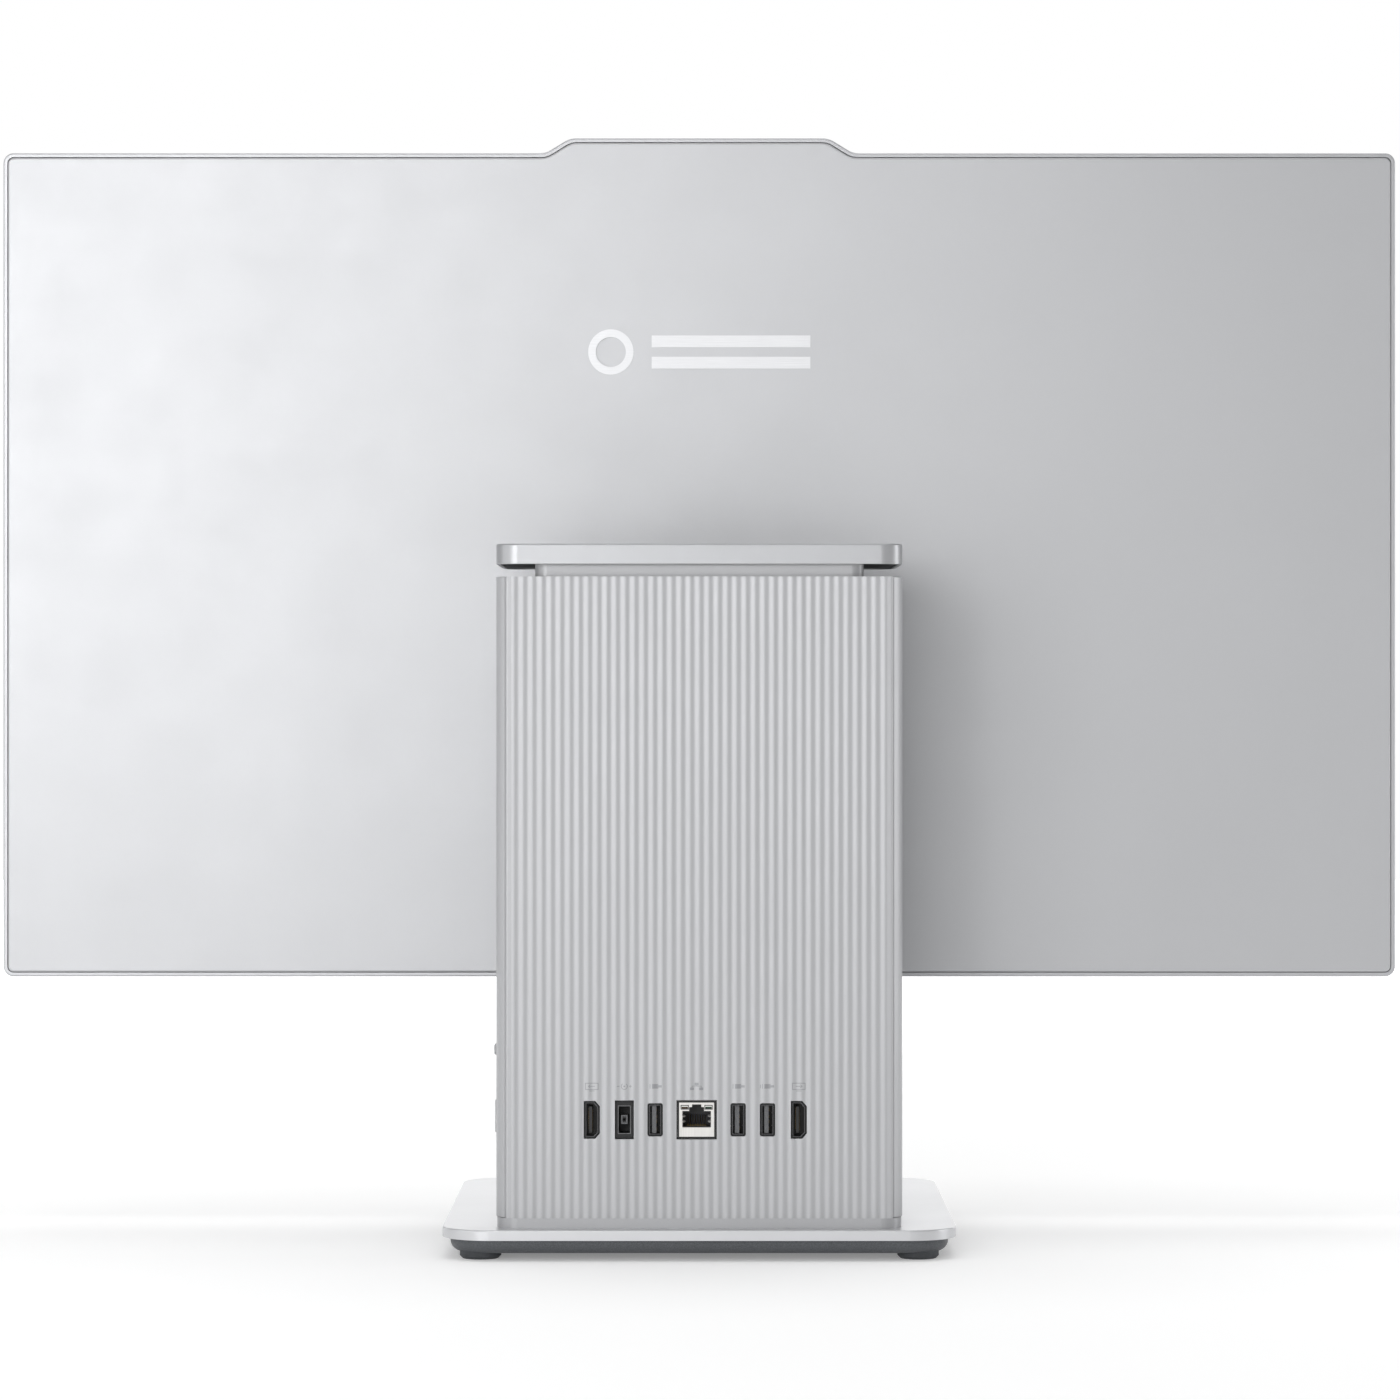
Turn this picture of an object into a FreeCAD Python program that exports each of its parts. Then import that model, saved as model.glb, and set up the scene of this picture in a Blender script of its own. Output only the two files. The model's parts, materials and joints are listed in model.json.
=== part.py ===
import FreeCAD, Part
import os
import Sketcher

# An all-in-one desktop computer: a thin display hinged to a ribbed tower that stands on a weighted base.
#
# Frame: +Z up, the screen faces -Y, the origin is the centre of the base's footprint on the desk.
# Millimetres. Every size is a cell of the sheet "dims"; every piece is an object bound to those cells.

V = FreeCAD.Vector
X_AXIS, Y_AXIS, Z_AXIS = V(1, 0, 0), V(0, 1, 0), V(0, 0, 1)

# ---------------------------------------------------------------- driving dimensions

DIMENSIONS = {
    "base": dict(
        base_width=213, base_depth=220, base_corner=20, plate_thick=4.3, plate_edge=0.6,
        foot_height=2.7, foot_radius=8.6, foot_sunk=1, foot_edge=1.2, foot_inset_x=16,
        foot_inset_y=15.5, tray_height=5.9, tray_inset=3.3, tray_edge=4.6, tray_floor=2.2, tray_rim=24,
        base_screw_x=76, base_screw_y=34, base_screw_grip=4,
    ),
    "tower case": dict(
        tower_width=168, tower_depth=88, tower_setback=7, tower_corner=9, tower_top=281.6,
        shell_wall=2.2, shell_edge=0.4, seam=0.15, parting=0.3, plinth_height=4.2, plinth_inset=0.4,
        plinth_rim=14, panel_width=160, panel_thick=2.4, panel_edge=1.1, rib_count=41, rib_pitch=3.825,
        rib_rise=0.22, hook_width=10, hook_height=6, hook_reach=3, hook_x=60, intake_count=13,
        intake_pitch=5.2, intake_length=34, intake_width=2, intake_low=140, intake_front=24,
    ),
    "cap": dict(
        vent_gap=5.1, cap_height=8.5, cap_wall=1.8, cap_roof=3, cap_edge=0.8, cap_lower_edge=0.3,
        liner_recess=0.5, liner_rim=8, liner_floor=2, neck_width=136, neck_depth=79, neck_corner=5,
        neck_wall=2.4, deck_thick=2, deck_sunk=0.6, vent_count=13, vent_pitch=5, vent_length=8,
        vent_width=2.4, vent_margin=2,
    ),
    "rear ports": dict(
        port_level=57.7, port_recess=1, port_gap=0.3, port_floor=84, hdmi_out_x=44.3,
        power_inlet_x=30.9, usb_left_x=18.2, lan_x=1.1, usb_middle_x=-16, usb_right_x=-28.1,
        hdmi_in_x=-41, usb_width=5.7, usb_height=13.1, usb_wall=0.4, usb_corner=0.6, usb_depth=10,
        usb_tongue_width=1.7, usb_tongue_height=11, usb_tongue_shift=0.4, tongue_setback=0.9,
        hdmi_width=6, hdmi_height=15, hdmi_wall=0.45, hdmi_shoulder=1.9, hdmi_narrow=2.2, hdmi_depth=9,
        hdmi_tongue_width=1.2, hdmi_tongue_height=10.6, hdmi_tongue_shift=0.5, inlet_width=7.2,
        inlet_height=15.4, inlet_mouth_width=4.7, inlet_mouth_height=11, inlet_depth=9.5,
        inlet_pin_width=2.4, inlet_pin_height=3.4, inlet_pin_bore=0.6, inlet_corner=0.7,
        inlet_pin_corner=0.4, lan_corner=0.5, lan_lamp_deep=0.4, lan_contact_back=2.5, lan_width=16,
        lan_height=15.6, lan_mouth_width=11.8, lan_mouth_height=6.8, lan_mouth_low=4.6,
        lan_key_width=6.2, lan_key_height=1.6, lan_latch_width=3.9, lan_latch_height=1.1,
        lan_depth=12.5, lan_lamp_width=2.6, lan_lamp_height=1.1, lan_lamp_x=4.9, lan_lamp_rise=12.6,
        lan_contact_pitch=1.02, lan_contact_width=0.45, lan_contact_thick=0.35,
    ),
    "side ports and controls": dict(
        side_y=87, button_z=85.8, rocker_z=58, type_c_right_z=74.2, lock_z=99.3, lamp_z=90.9,
        type_c_left_z=68, jack_z=57.4, button_length=10.6, button_width=4.3, button_proud=1,
        button_flange=0.8, button_depth=6.5, rocker_length=13.6, rocker_width=4.2, rocker_proud=0.7,
        rocker_depth=5, rocker_pivot=4.4, rocker_relief=0.8, button_edge=0.4, rocker_edge=0.4,
        rocker_corner=1.4, rocker_pin=0.8, rocker_pin_out=1.5, control_gap=0.35, flange_thick=0.9,
        lock_length=7, lock_height=3, lock_corner=0.6, type_c_width=8.9, type_c_height=3.2,
        type_c_tongue_side=1.2, type_c_wall=0.3, type_c_depth=7, type_c_mouth=6.2, type_c_back=0.3,
        type_c_tongue=0.7, jack_radius=3, jack_bore=1.8, jack_floor=1, jack_depth=13, jack_back=0.2,
        lamp_radius=0.9, lamp_proud=0.3, lamp_depth=7, side_board_x=75.8, side_board_thick=1.2,
        side_board_width=9, side_board_low=48, side_board_high=106, switch_thick=0.4, cheek_gap=0.35,
        cheek_thick=1, cheek_over=1.6, cheek_height=4,
    ),
    "electronics": dict(
        chassis_width=154, chassis_front=17.8, chassis_rear=80, chassis_high=276, chassis_sheet=1.2,
        chassis_flange=10, board_width=146, board_low=28, board_high=268, board_thick=1.6,
        board_front=82.4, board_hole_x=69, board_hole_low=36, board_hole_high=261, post_radius=4,
        chassis_window=44, processor_size=38, processor_thick=1.5, processor_base=0.8,
        processor_lid_inset=3, processor_z=122, plate_size=46, cold_plate_thick=3, pipe_radius=2.2,
        pipe_spread=9, pipe_end=1, fin_count=40, fin_pitch=2.6, fin_sheet=0.5, fin_deep=26, fin_high=26,
        fin_low=246, fin_rear=79, fan_size=94, fan_thick=22, fan_z=194, fan_rear=73, fan_wall=1.5,
        fan_inlet=27, rotor_radius=40, rotor_hub=15, rotor_bore=2.05, rotor_disc=1.2, rotor_gap=1.6,
        blade_count=29, blade_thick=0.9, blade_root=13.5, shaft_radius=2, fan_post=2.5,
        fan_post_inset=5, fan_corner=8, rotor_side=1.2, blade_lean=-4, memory_length=69.6,
        memory_width=30, memory_thick=3.6, memory_z=63, memory_pitch=34, drive_length=80,
        drive_width=22, drive_thick=2.4, drive_x=-58, drive_low=158, radio_length=30, radio_x=58,
        radio_low=150, cell_radius=10, cell_thick=3.2, cell_x=52, cell_z=116,
    ),
    "hinge": dict(
        hinge_y=-22, hinge_z=250, arm_inner=44, arm_thick=12, arm_radius=12, cast_half_width=56,
        cast_half_height=26, cast_thick=6, cast_corner=8, barrel_radius=11.5, barrel_half=43.3,
        pin_radius=4, pin_bore=4.03, barrel_bore=4.06, pin_inner=30, hinge_screw_grip=4,
        pin_head_radius=6.5, pin_head_thick=1.5, washer_radius=9, washer_bore=4.4, washer_thick=0.4,
        web_half_width=40, web_half_height=7, tilt_half_width=52, tilt_half_height=36, tilt_thick=3,
        tilt_rear=-43, tilt_screw_x=38, tilt_screw_z=26, web_clear=1.5, cover_half_width=62,
        cover_half_height=30, cover_front=-7, cover_wall=2, cover_corner=8, cover_edge=2.5,
        cover_clear=0.6, hinge_screw_x=30, hinge_screw_z=18, screw_radius=2, screw_head=3.6,
        screw_head_thick=2.4, screw_clear=0.25,
    ),
    "display": dict(
        display_width=614, display_height=363.3, display_low=108.5, display_rear=-38, display_depth=17,
        display_corner=4.6, bump_top_half=57, bump_rise=6.6, bump_slope=31.5, bump_corner=9,
        rim_wall=1.8, rim_setback=0.3, rim_edge=0.7, cover_sheet=2.2, rear_cover_edge=0.9,
        cover_seam=0.2, cover_post=2.2, ledge_inset=7, ledge_thick=1.2, ledge_setback=5, trim_thick=1.8,
        trim_width=1.7, chin_height=18.2, chin_edge=0.6, glass_recess=0.4, glass_thick=1.4,
        light_thick=2.8, light_margin=3, tray_sheet=0.8, tray_margin=6, screen_gap=0.2, chin_post=3,
        brace_half_width=110, brace_half_height=60, brace_thick=1.5, brace_boss=5, driver_board_gap=1.3,
        speaker_x=220, speaker_length=120, speaker_height=14, speaker_deep=8, grille_count=24,
        grille_pitch=4, grille_slot=1.6, grille_length=8, driver_board_length=220,
        driver_board_height=26, driver_board_z=146, driver_board_thick=1.2, driver_pad_x=88,
        driver_pad_radius=3, camera_rise=0.9, camera_window=2.9, lens_radius=2.5, lens_length=1.2,
        lens_rim=0.6, lens_recess=0.3, camera_board_length=92, camera_board_height=6,
        camera_board_thick=0.8, camera_board_gap=0.1, microphone_x=34, microphone_hole=0.6,
        microphone_length=3.5, microphone_thick=1, microphone_height=2.7, leaf_length=12,
        leaf_height=6.2, leaf_thick=0.5, leaf_open=10, tab_length=3, tab_height=1.4, tab_x=14,
        tab_proud=0.4, tab_clear=0.3, leaf_gap=0.3, shutter_travel=8.5, emblem_rise=275.5,
        emblem_ring=10, emblem_ring_bore=6.6, emblem_bar=70, emblem_bar_height=5.2, emblem_step=9.4,
        emblem_gap=8, emblem_thick=0.8, emblem_sunk=0.5,
    ),
}

# Levels and planes that several pieces share, as expressions of the sheet.
PLATE_LOW = "(dims.foot_height + dims.tray_height)"
PLATE_TOP = f"({PLATE_LOW} + dims.plate_thick)"
PLINTH_TOP = f"({PLATE_TOP} + dims.plinth_height)"
SHELL_LOW = f"({PLINTH_TOP} + dims.parting)"
TOWER_REAR = "(dims.base_depth / 2 - dims.tower_setback)"
TOWER_FRONT = f"({TOWER_REAR} - dims.tower_depth)"
TOWER_MIDDLE = f"({TOWER_REAR} - dims.tower_depth / 2)"
PANEL_FLOOR = f"({TOWER_REAR} - dims.rib_rise / 2)"
PANEL_INSIDE = f"({PANEL_FLOOR} - dims.panel_thick)"
PORT_FACE = f"({TOWER_REAR} - dims.port_recess)"
DECK_TOP = "(dims.tower_top - dims.deck_sunk)"
CAP_LOW = "(dims.tower_top + dims.vent_gap)"
LINER_LOW = f"({CAP_LOW} + dims.liner_recess)"
SIDE = "(dims.tower_width / 2)"
BOARD_REAR = "(dims.board_front + dims.board_thick)"
DISPLAY_FRONT = "(dims.display_rear - dims.display_depth)"
DISPLAY_TOP = "(dims.display_low + dims.display_height)"
COVER_INSIDE = "(dims.display_rear - dims.cover_sheet)"
TRIM_REAR = f"({DISPLAY_FRONT} + dims.trim_thick)"
CHIN_TOP = "(dims.display_low + dims.rim_wall + dims.chin_height)"
GLASS_REAR = f"({DISPLAY_FRONT} + dims.glass_recess + dims.glass_thick)"
LEDGE_FRONT = f"({DISPLAY_FRONT} + dims.ledge_setback)"
LEDGE_REAR = f"({LEDGE_FRONT} + dims.ledge_thick)"
CAMERA_Z = f"({DISPLAY_TOP} + dims.camera_rise)"

# Where repeated pieces sit, as pairs of expressions.
PAIR = ((-1, -1), (-1, 1), (1, -1), (1, 1))
FOOT_SPOTS = [
    (f"{i} * (dims.base_width / 2 - dims.foot_inset_x)", f"{j} * (dims.base_depth / 2 - dims.foot_inset_y)")
    for i, j in PAIR
]
BASE_SCREW_SPOTS = [
    (f"{i} * dims.base_screw_x", f"{TOWER_MIDDLE} + {j} * dims.base_screw_y") for i, j in PAIR
]
BOARD_SCREW_SPOTS = [
    (f"{i} * dims.board_hole_x", f"dims.board_hole_{level}") for i in (-1, 1) for level in ("low", "high")
]
HINGE_SCREW_SPOTS = [
    (f"{i} * dims.hinge_screw_x", f"dims.hinge_z + {j} * dims.hinge_screw_z") for i, j in PAIR
]
TILT_SCREW_SPOTS = [
    (f"{i} * dims.tilt_screw_x", f"dims.hinge_z + {j} * dims.tilt_screw_z") for i, j in PAIR
]
USB_X = ("dims.usb_left_x", "dims.usb_middle_x", "dims.usb_right_x")
HDMI_X = ("dims.hdmi_out_x", "dims.hdmi_in_x")
PORT_DEPTH = f"({PORT_FACE} - dims.port_floor)"
BRACE_REAR = "(dims.tilt_rear - dims.tilt_thick)"
DISPLAY_AT = ("0", "0", "dims.display_low")
EMBLEM_SPAN = "(2 * dims.emblem_ring + dims.emblem_gap + dims.emblem_bar)"
EMBLEM_Z = "(dims.display_low + dims.emblem_rise)"
EMBLEM_RING_AT = (f"({EMBLEM_SPAN} / 2 - dims.emblem_ring)", EMBLEM_Z)
EMBLEM_BARS_AT = [
    (f"(dims.emblem_bar / 2 - {EMBLEM_SPAN} / 2)", f"({EMBLEM_Z} {sign} dims.emblem_step / 2)")
    for sign in "+-"
]
SCREEN_LOW = f"({CHIN_TOP} + dims.screen_gap)"
SCREEN_HIGH = f"({DISPLAY_TOP} - dims.rim_wall - dims.trim_width - dims.screen_gap)"
SCREEN_WIDTH = "(dims.display_width - 2 * (dims.rim_wall + dims.trim_width + dims.screen_gap))"

doc = FreeCAD.newDocument("all_in_one_pc")
sheet = doc.addObject("Spreadsheet::Sheet", "dims")
nodes = []


def fill_sheet():
    row = 1
    for group, cells in DIMENSIONS.items():
        sheet.set(f"A{row}", group)
        row += 1
        for name, number in cells.items():
            sheet.set(f"A{row}", name)
            sheet.set(f"B{row}", str(number))
            sheet.setAlias(f"B{row}", name)
            row += 1
    doc.recompute()


def value(expression):
    """The number that an expression of the sheet comes to."""
    found = sheet.evalExpression(expression)
    return float(getattr(found, "Value", found))


# ---------------------------------------------------------------- Part Design helpers

NORMAL = {"XY": 1, "XZ": -1, "YZ": 1}  # which way each origin plane's sketch faces along its axis


def origin_feature(body, role):
    return next(o for o in body.Origin.OriginFeatures if o.Role == role)


def new_body(name, at=("0", "0", "0")):
    body = doc.addObject("PartDesign::Body", name)
    for axis, expression in zip("xyz", at):
        body.setExpression(f"Placement.Base.{axis}", expression)
    return body


def new_sketch(body, plane, centre, level, name):
    """A sketch parallel to an origin plane, at a level along its axis, with its own origin at centre."""
    sketch = body.newObject("Sketcher::SketchObject", name)
    sketch.AttachmentSupport = [(origin_feature(body, f"{plane}_Plane"), "")]
    sketch.MapMode = "FlatFace"
    sketch.setExpression("AttachmentOffset.Base.x", centre[0])
    sketch.setExpression("AttachmentOffset.Base.y", centre[1])
    sketch.setExpression("AttachmentOffset.Base.z", level if NORMAL[plane] > 0 else f"-({level})")
    return sketch


def dimension(sketch, constraint, name, expression):
    index = sketch.addConstraint(constraint)
    sketch.renameConstraint(index, name)
    sketch.setExpression(f"Constraints.{name}", expression)


def closed_lines(sketch, points):
    """Straight edges through the points, joined end to end."""
    count = len(points)
    for i in range(count):
        sketch.addGeometry(Part.LineSegment(points[i], points[(i + 1) % count]), False)
    for i in range(count):
        sketch.addConstraint(Sketcher.Constraint("Coincident", i, 2, (i + 1) % count, 1))


def rectangle(width, height):
    def draw(sketch):
        x, y = value(width) / 2, value(height) / 2
        closed_lines(sketch, [V(-x, -y, 0), V(x, -y, 0), V(x, y, 0), V(-x, y, 0)])
        for line, rule in enumerate(("Horizontal", "Vertical", "Horizontal", "Vertical")):
            sketch.addConstraint(Sketcher.Constraint(rule, line))
        sketch.addConstraint(Sketcher.Constraint("Symmetric", 0, 1, 1, 2, -1, 1))
        dimension(sketch, Sketcher.Constraint("DistanceX", 0, 1, 0, 2, 2 * x), "width", width)
        dimension(sketch, Sketcher.Constraint("DistanceY", 1, 1, 1, 2, 2 * y), "height", height)

    return draw


def rounded(width, height, corner):
    """A rectangle with rounded corners, or a slot with full round ends, drawn about its own centre."""

    def draw(sketch):
        x, y, r = value(width) / 2, value(height) / 2, value(corner) * 0.999
        ends = [(V(x - r, -y, 0), V(x, -y + r, 0)), (V(x, y - r, 0), V(x - r, y, 0))]
        ends += [(V(-x + r, y, 0), V(-x, y - r, 0)), (V(-x, -y + r, 0), V(-x + r, -y, 0))]
        hubs = [V(x - r, -y + r, 0), V(x - r, y - r, 0), V(-x + r, y - r, 0), V(-x + r, -y + r, 0)]
        for (start, finish), hub in zip(ends, hubs):
            middle = hub + ((start + finish) * 0.5 - hub).normalize() * r
            sketch.addGeometry(Part.Arc(start, middle, finish), False)
        for i in range(4):
            sketch.addGeometry(Part.LineSegment(ends[i][1], ends[(i + 1) % 4][0]), False)
        for i in range(4):
            sketch.addConstraint(Sketcher.Constraint("Tangent", i, 2, i + 4, 1))
            sketch.addConstraint(Sketcher.Constraint("Tangent", i + 4, 2, (i + 1) % 4, 1))
        for i in range(3):
            sketch.addConstraint(Sketcher.Constraint("Equal", i, i + 1))
        sketch.addConstraint(Sketcher.Constraint("Vertical", 4))
        sketch.addConstraint(Sketcher.Constraint("Horizontal", 5))
        sketch.addConstraint(Sketcher.Constraint("Symmetric", 0, 3, 2, 3, -1, 1))
        dimension(sketch, Sketcher.Constraint("Radius", 0, r), "corner", f"({corner}) * 0.999")
        dimension(sketch, Sketcher.Constraint("DistanceX", 6, 1, 4, 1, 2 * x), "width", width)
        dimension(sketch, Sketcher.Constraint("DistanceY", 7, 1, 5, 1, 2 * y), "height", height)

    return draw


def disc(radius):
    def draw(sketch):
        sketch.addGeometry(Part.Circle(V(0, 0, 0), Z_AXIS, value(radius)), False)
        sketch.addConstraint(Sketcher.Constraint("Coincident", 0, 3, -1, 1))
        dimension(sketch, Sketcher.Constraint("Radius", 0, value(radius)), "radius", radius)

    return draw


def polygon(corners):
    """Straight edges through corners, each an (x, y) pair of expressions."""

    def draw(sketch):
        points = [V(value(x), value(y), 0) for x, y in corners]
        closed_lines(sketch, points)
        for i, ((x, y), p) in enumerate(zip(corners, points)):
            dimension(sketch, Sketcher.Constraint("DistanceX", -1, 1, i, 1, p.x), f"across_{i}", x)
            dimension(sketch, Sketcher.Constraint("DistanceY", -1, 1, i, 1, p.y), f"along_{i}", y)

    return draw


def segment(chord, rise, side=1):
    """A flat-backed arc on one side of its chord: half a wave of the moulded ribs."""

    def draw(sketch):
        half, top = side * value(chord) / 2, side * value(rise)
        sketch.addGeometry(Part.Arc(V(half, 0, 0), V(0, top, 0), V(-half, 0, 0)), False)
        sketch.addGeometry(Part.LineSegment(V(-half, 0, 0), V(half, 0, 0)), False)
        sketch.addConstraint(Sketcher.Constraint("Coincident", 0, 2, 1, 1))
        sketch.addConstraint(Sketcher.Constraint("Coincident", 0, 1, 1, 2))
        sketch.addConstraint(Sketcher.Constraint("Symmetric", 1, 1, 1, 2, -1, 1))
        sketch.addConstraint(Sketcher.Constraint("Horizontal", 1))
        ends = (1, 1, 1, 2) if side > 0 else (1, 2, 1, 1)
        dimension(sketch, Sketcher.Constraint("DistanceX", *ends, value(chord)), "chord", chord)
        radius = f"({chord} * {chord} / 4 + {rise} * {rise}) / (2 * {rise})"
        dimension(sketch, Sketcher.Constraint("Radius", 0, value(radius)), "bulge", radius)

    return draw


def volume(body):
    return body.Tip.Shape.Volume if body.Tip and not body.Tip.Shape.isNull() else 0.0


def boss(body, plane, profile, centre, low, high, name="boss"):
    """Adds the profile as a pad between two levels along the plane's axis."""
    before = volume(body)
    start = low if NORMAL[plane] > 0 else high
    pad = body.newObject("PartDesign::Pad", name)
    sketch = new_sketch(body, plane, centre, start, name + "_profile")
    profile(sketch)
    pad.Profile = sketch
    pad.setExpression("Length", f"({high}) - ({low})")
    body.Tip = pad
    doc.recompute()
    if not pad.isValid() or pad.Shape.Volume <= before:
        raise RuntimeError(f"{body.Name}: {name} adds nothing")
    return pad


def pocket(body, plane, profile, centre, low, high, name="pocket"):
    """Cuts the profile away between two levels along the plane's axis."""
    before = volume(body)
    start = high if NORMAL[plane] > 0 else low
    cut = body.newObject("PartDesign::Pocket", name)
    sketch = new_sketch(body, plane, centre, start, name + "_profile")
    profile(sketch)
    cut.Profile = sketch
    cut.setExpression("Length", f"({high}) - ({low})")
    body.Tip = cut
    doc.recompute()
    if not cut.isValid() or cut.Shape.Volume >= before:
        raise RuntimeError(f"{body.Name}: {name} cuts nothing")
    return cut


def along(axis):
    """Picks the straight edges that run along an axis."""

    def pick(edge):
        if len(edge.Vertexes) < 2 or edge.Curve.TypeId != "Part::GeomLine":
            return False
        return edge.tangentAt(edge.FirstParameter).cross(axis).Length < 1e-6

    return pick


def in_plane(axis, level):
    """Picks the edges that lie wholly at one level along an axis, which is one of xyz."""
    target = value(level)

    def pick(edge):
        box = edge.BoundBox
        return all(abs(getattr(box, axis.upper() + end) - target) < 1e-3 for end in ("Min", "Max"))

    return pick


def outer_edges(body, axis, level):
    """Picks the outer boundary of the face that lies at one level along an axis."""
    at_level = in_plane(axis, level)
    rims = [edge for face in body.Tip.Shape.Faces if at_level(face) for edge in face.OuterWire.Edges]
    return lambda edge: any(edge.isSame(rim) for rim in rims)


def both(first, second):
    return lambda edge: first(edge) and second(edge)


def dress(kind, body, size, pick, name):
    """A fillet or chamfer of one size on the edges that pick chooses."""
    base = body.Tip
    chosen = [f"Edge{i}" for i, edge in enumerate(base.Shape.Edges, 1) if pick(edge)]
    if not chosen:
        raise RuntimeError(f"{body.Name}: {name} finds no edges")
    feature = body.newObject(f"PartDesign::{kind}", name)
    feature.Base = (base, chosen)
    feature.setExpression("Radius" if kind == "Fillet" else "Size", size)
    body.Tip = feature
    doc.recompute()
    if not feature.isValid():
        raise RuntimeError(f"{body.Name}: {name} failed")
    return feature


def fillet(body, size, pick, name="rounding"):
    return dress("Fillet", body, size, pick, name)


def chamfer(body, size, pick, name="bevel"):
    return dress("Chamfer", body, size, pick, name)


def row_of(body, feature, axis, pitch, count, name="row"):
    """Repeats the last feature along an axis."""
    pattern = body.newObject("PartDesign::LinearPattern", name)
    pattern.Originals = [feature]
    pattern.Direction = (origin_feature(body, f"{axis}_Axis"), [""])
    pattern.setExpression("Length", f"{pitch} * ({count} - 1)")
    pattern.setExpression("Occurrences", count)
    body.Tip = pattern
    doc.recompute()
    return pattern


def circle_of(body, feature, axis, count, name="circle"):
    pattern = body.newObject("PartDesign::PolarPattern", name)
    pattern.Originals = [feature]
    pattern.Axis = (origin_feature(body, f"{axis}_Axis"), [""])
    pattern.Angle = 360
    pattern.setExpression("Occurrences", count)
    body.Tip = pattern
    doc.recompute()
    return pattern


# ---------------------------------------------------------------- Part helpers

TURN_TO = {"x": FreeCAD.Rotation(Y_AXIS, 90), "y": FreeCAD.Rotation(X_AXIS, -90), "z": FreeCAD.Rotation()}


def place(item, at):
    for axis, expression in zip("xyz", at):
        item.setExpression(f"Placement.Base.{axis}", expression)
    return item


def block(name, low, size):
    """A box from its lowest corner, with sizes along X, Y and Z."""
    item = doc.addObject("Part::Box", name)
    for prop, expression in zip(("Length", "Width", "Height"), size):
        item.setExpression(prop, expression)
    return place(item, low)


def centred_block(name, centre, size):
    low = [f"({c}) - ({s}) / 2" for c, s in zip(centre, size)]
    return block(name, low, size)


def rod(name, radius, start, axis, length):
    """A cylinder from the centre of its lower end, running along an axis."""
    item = doc.addObject("Part::Cylinder", name)
    item.Placement = FreeCAD.Placement(V(), TURN_TO[axis])
    item.setExpression("Radius", radius)
    item.setExpression("Height", length)
    return place(item, start)


def cut(name, base, *tools):
    for i, tool in enumerate(tools):
        item = doc.addObject("Part::Cut", name if i == len(tools) - 1 else f"{name}_step_{i}")
        item.Base, item.Tool = base, tool
        base = item
    return base


def fuse(name, *parts):
    item = doc.addObject("Part::MultiFuse", name)
    item.Shapes = list(parts)
    item.Refine = True
    return item


def group(name, *parts):
    """Separate solids that share one node."""
    item = doc.addObject("Part::Compound", name)
    item.Links = list(parts)
    return item


def node(item, label):
    item.Label = label
    nodes.append(item)
    return item


def screw(name, tip, axis, length, head_first=False):
    """A cylinder-head screw whose shank starts at tip; its head sits at the far end, or at the start."""
    index = "xyz".index(axis)
    head_at = list(tip)
    if head_first:
        head_at[index] = f"({tip[index]}) - dims.screw_head_thick"
    else:
        head_at[index] = f"({tip[index]}) + ({length})"
    shank = rod(name + "_shank", "dims.screw_radius", tip, axis, length)
    head = rod(name + "_head", "dims.screw_head", head_at, axis, "dims.screw_head_thick")
    return fuse(name, shank, head)


# ---------------------------------------------------------------- base


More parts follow.
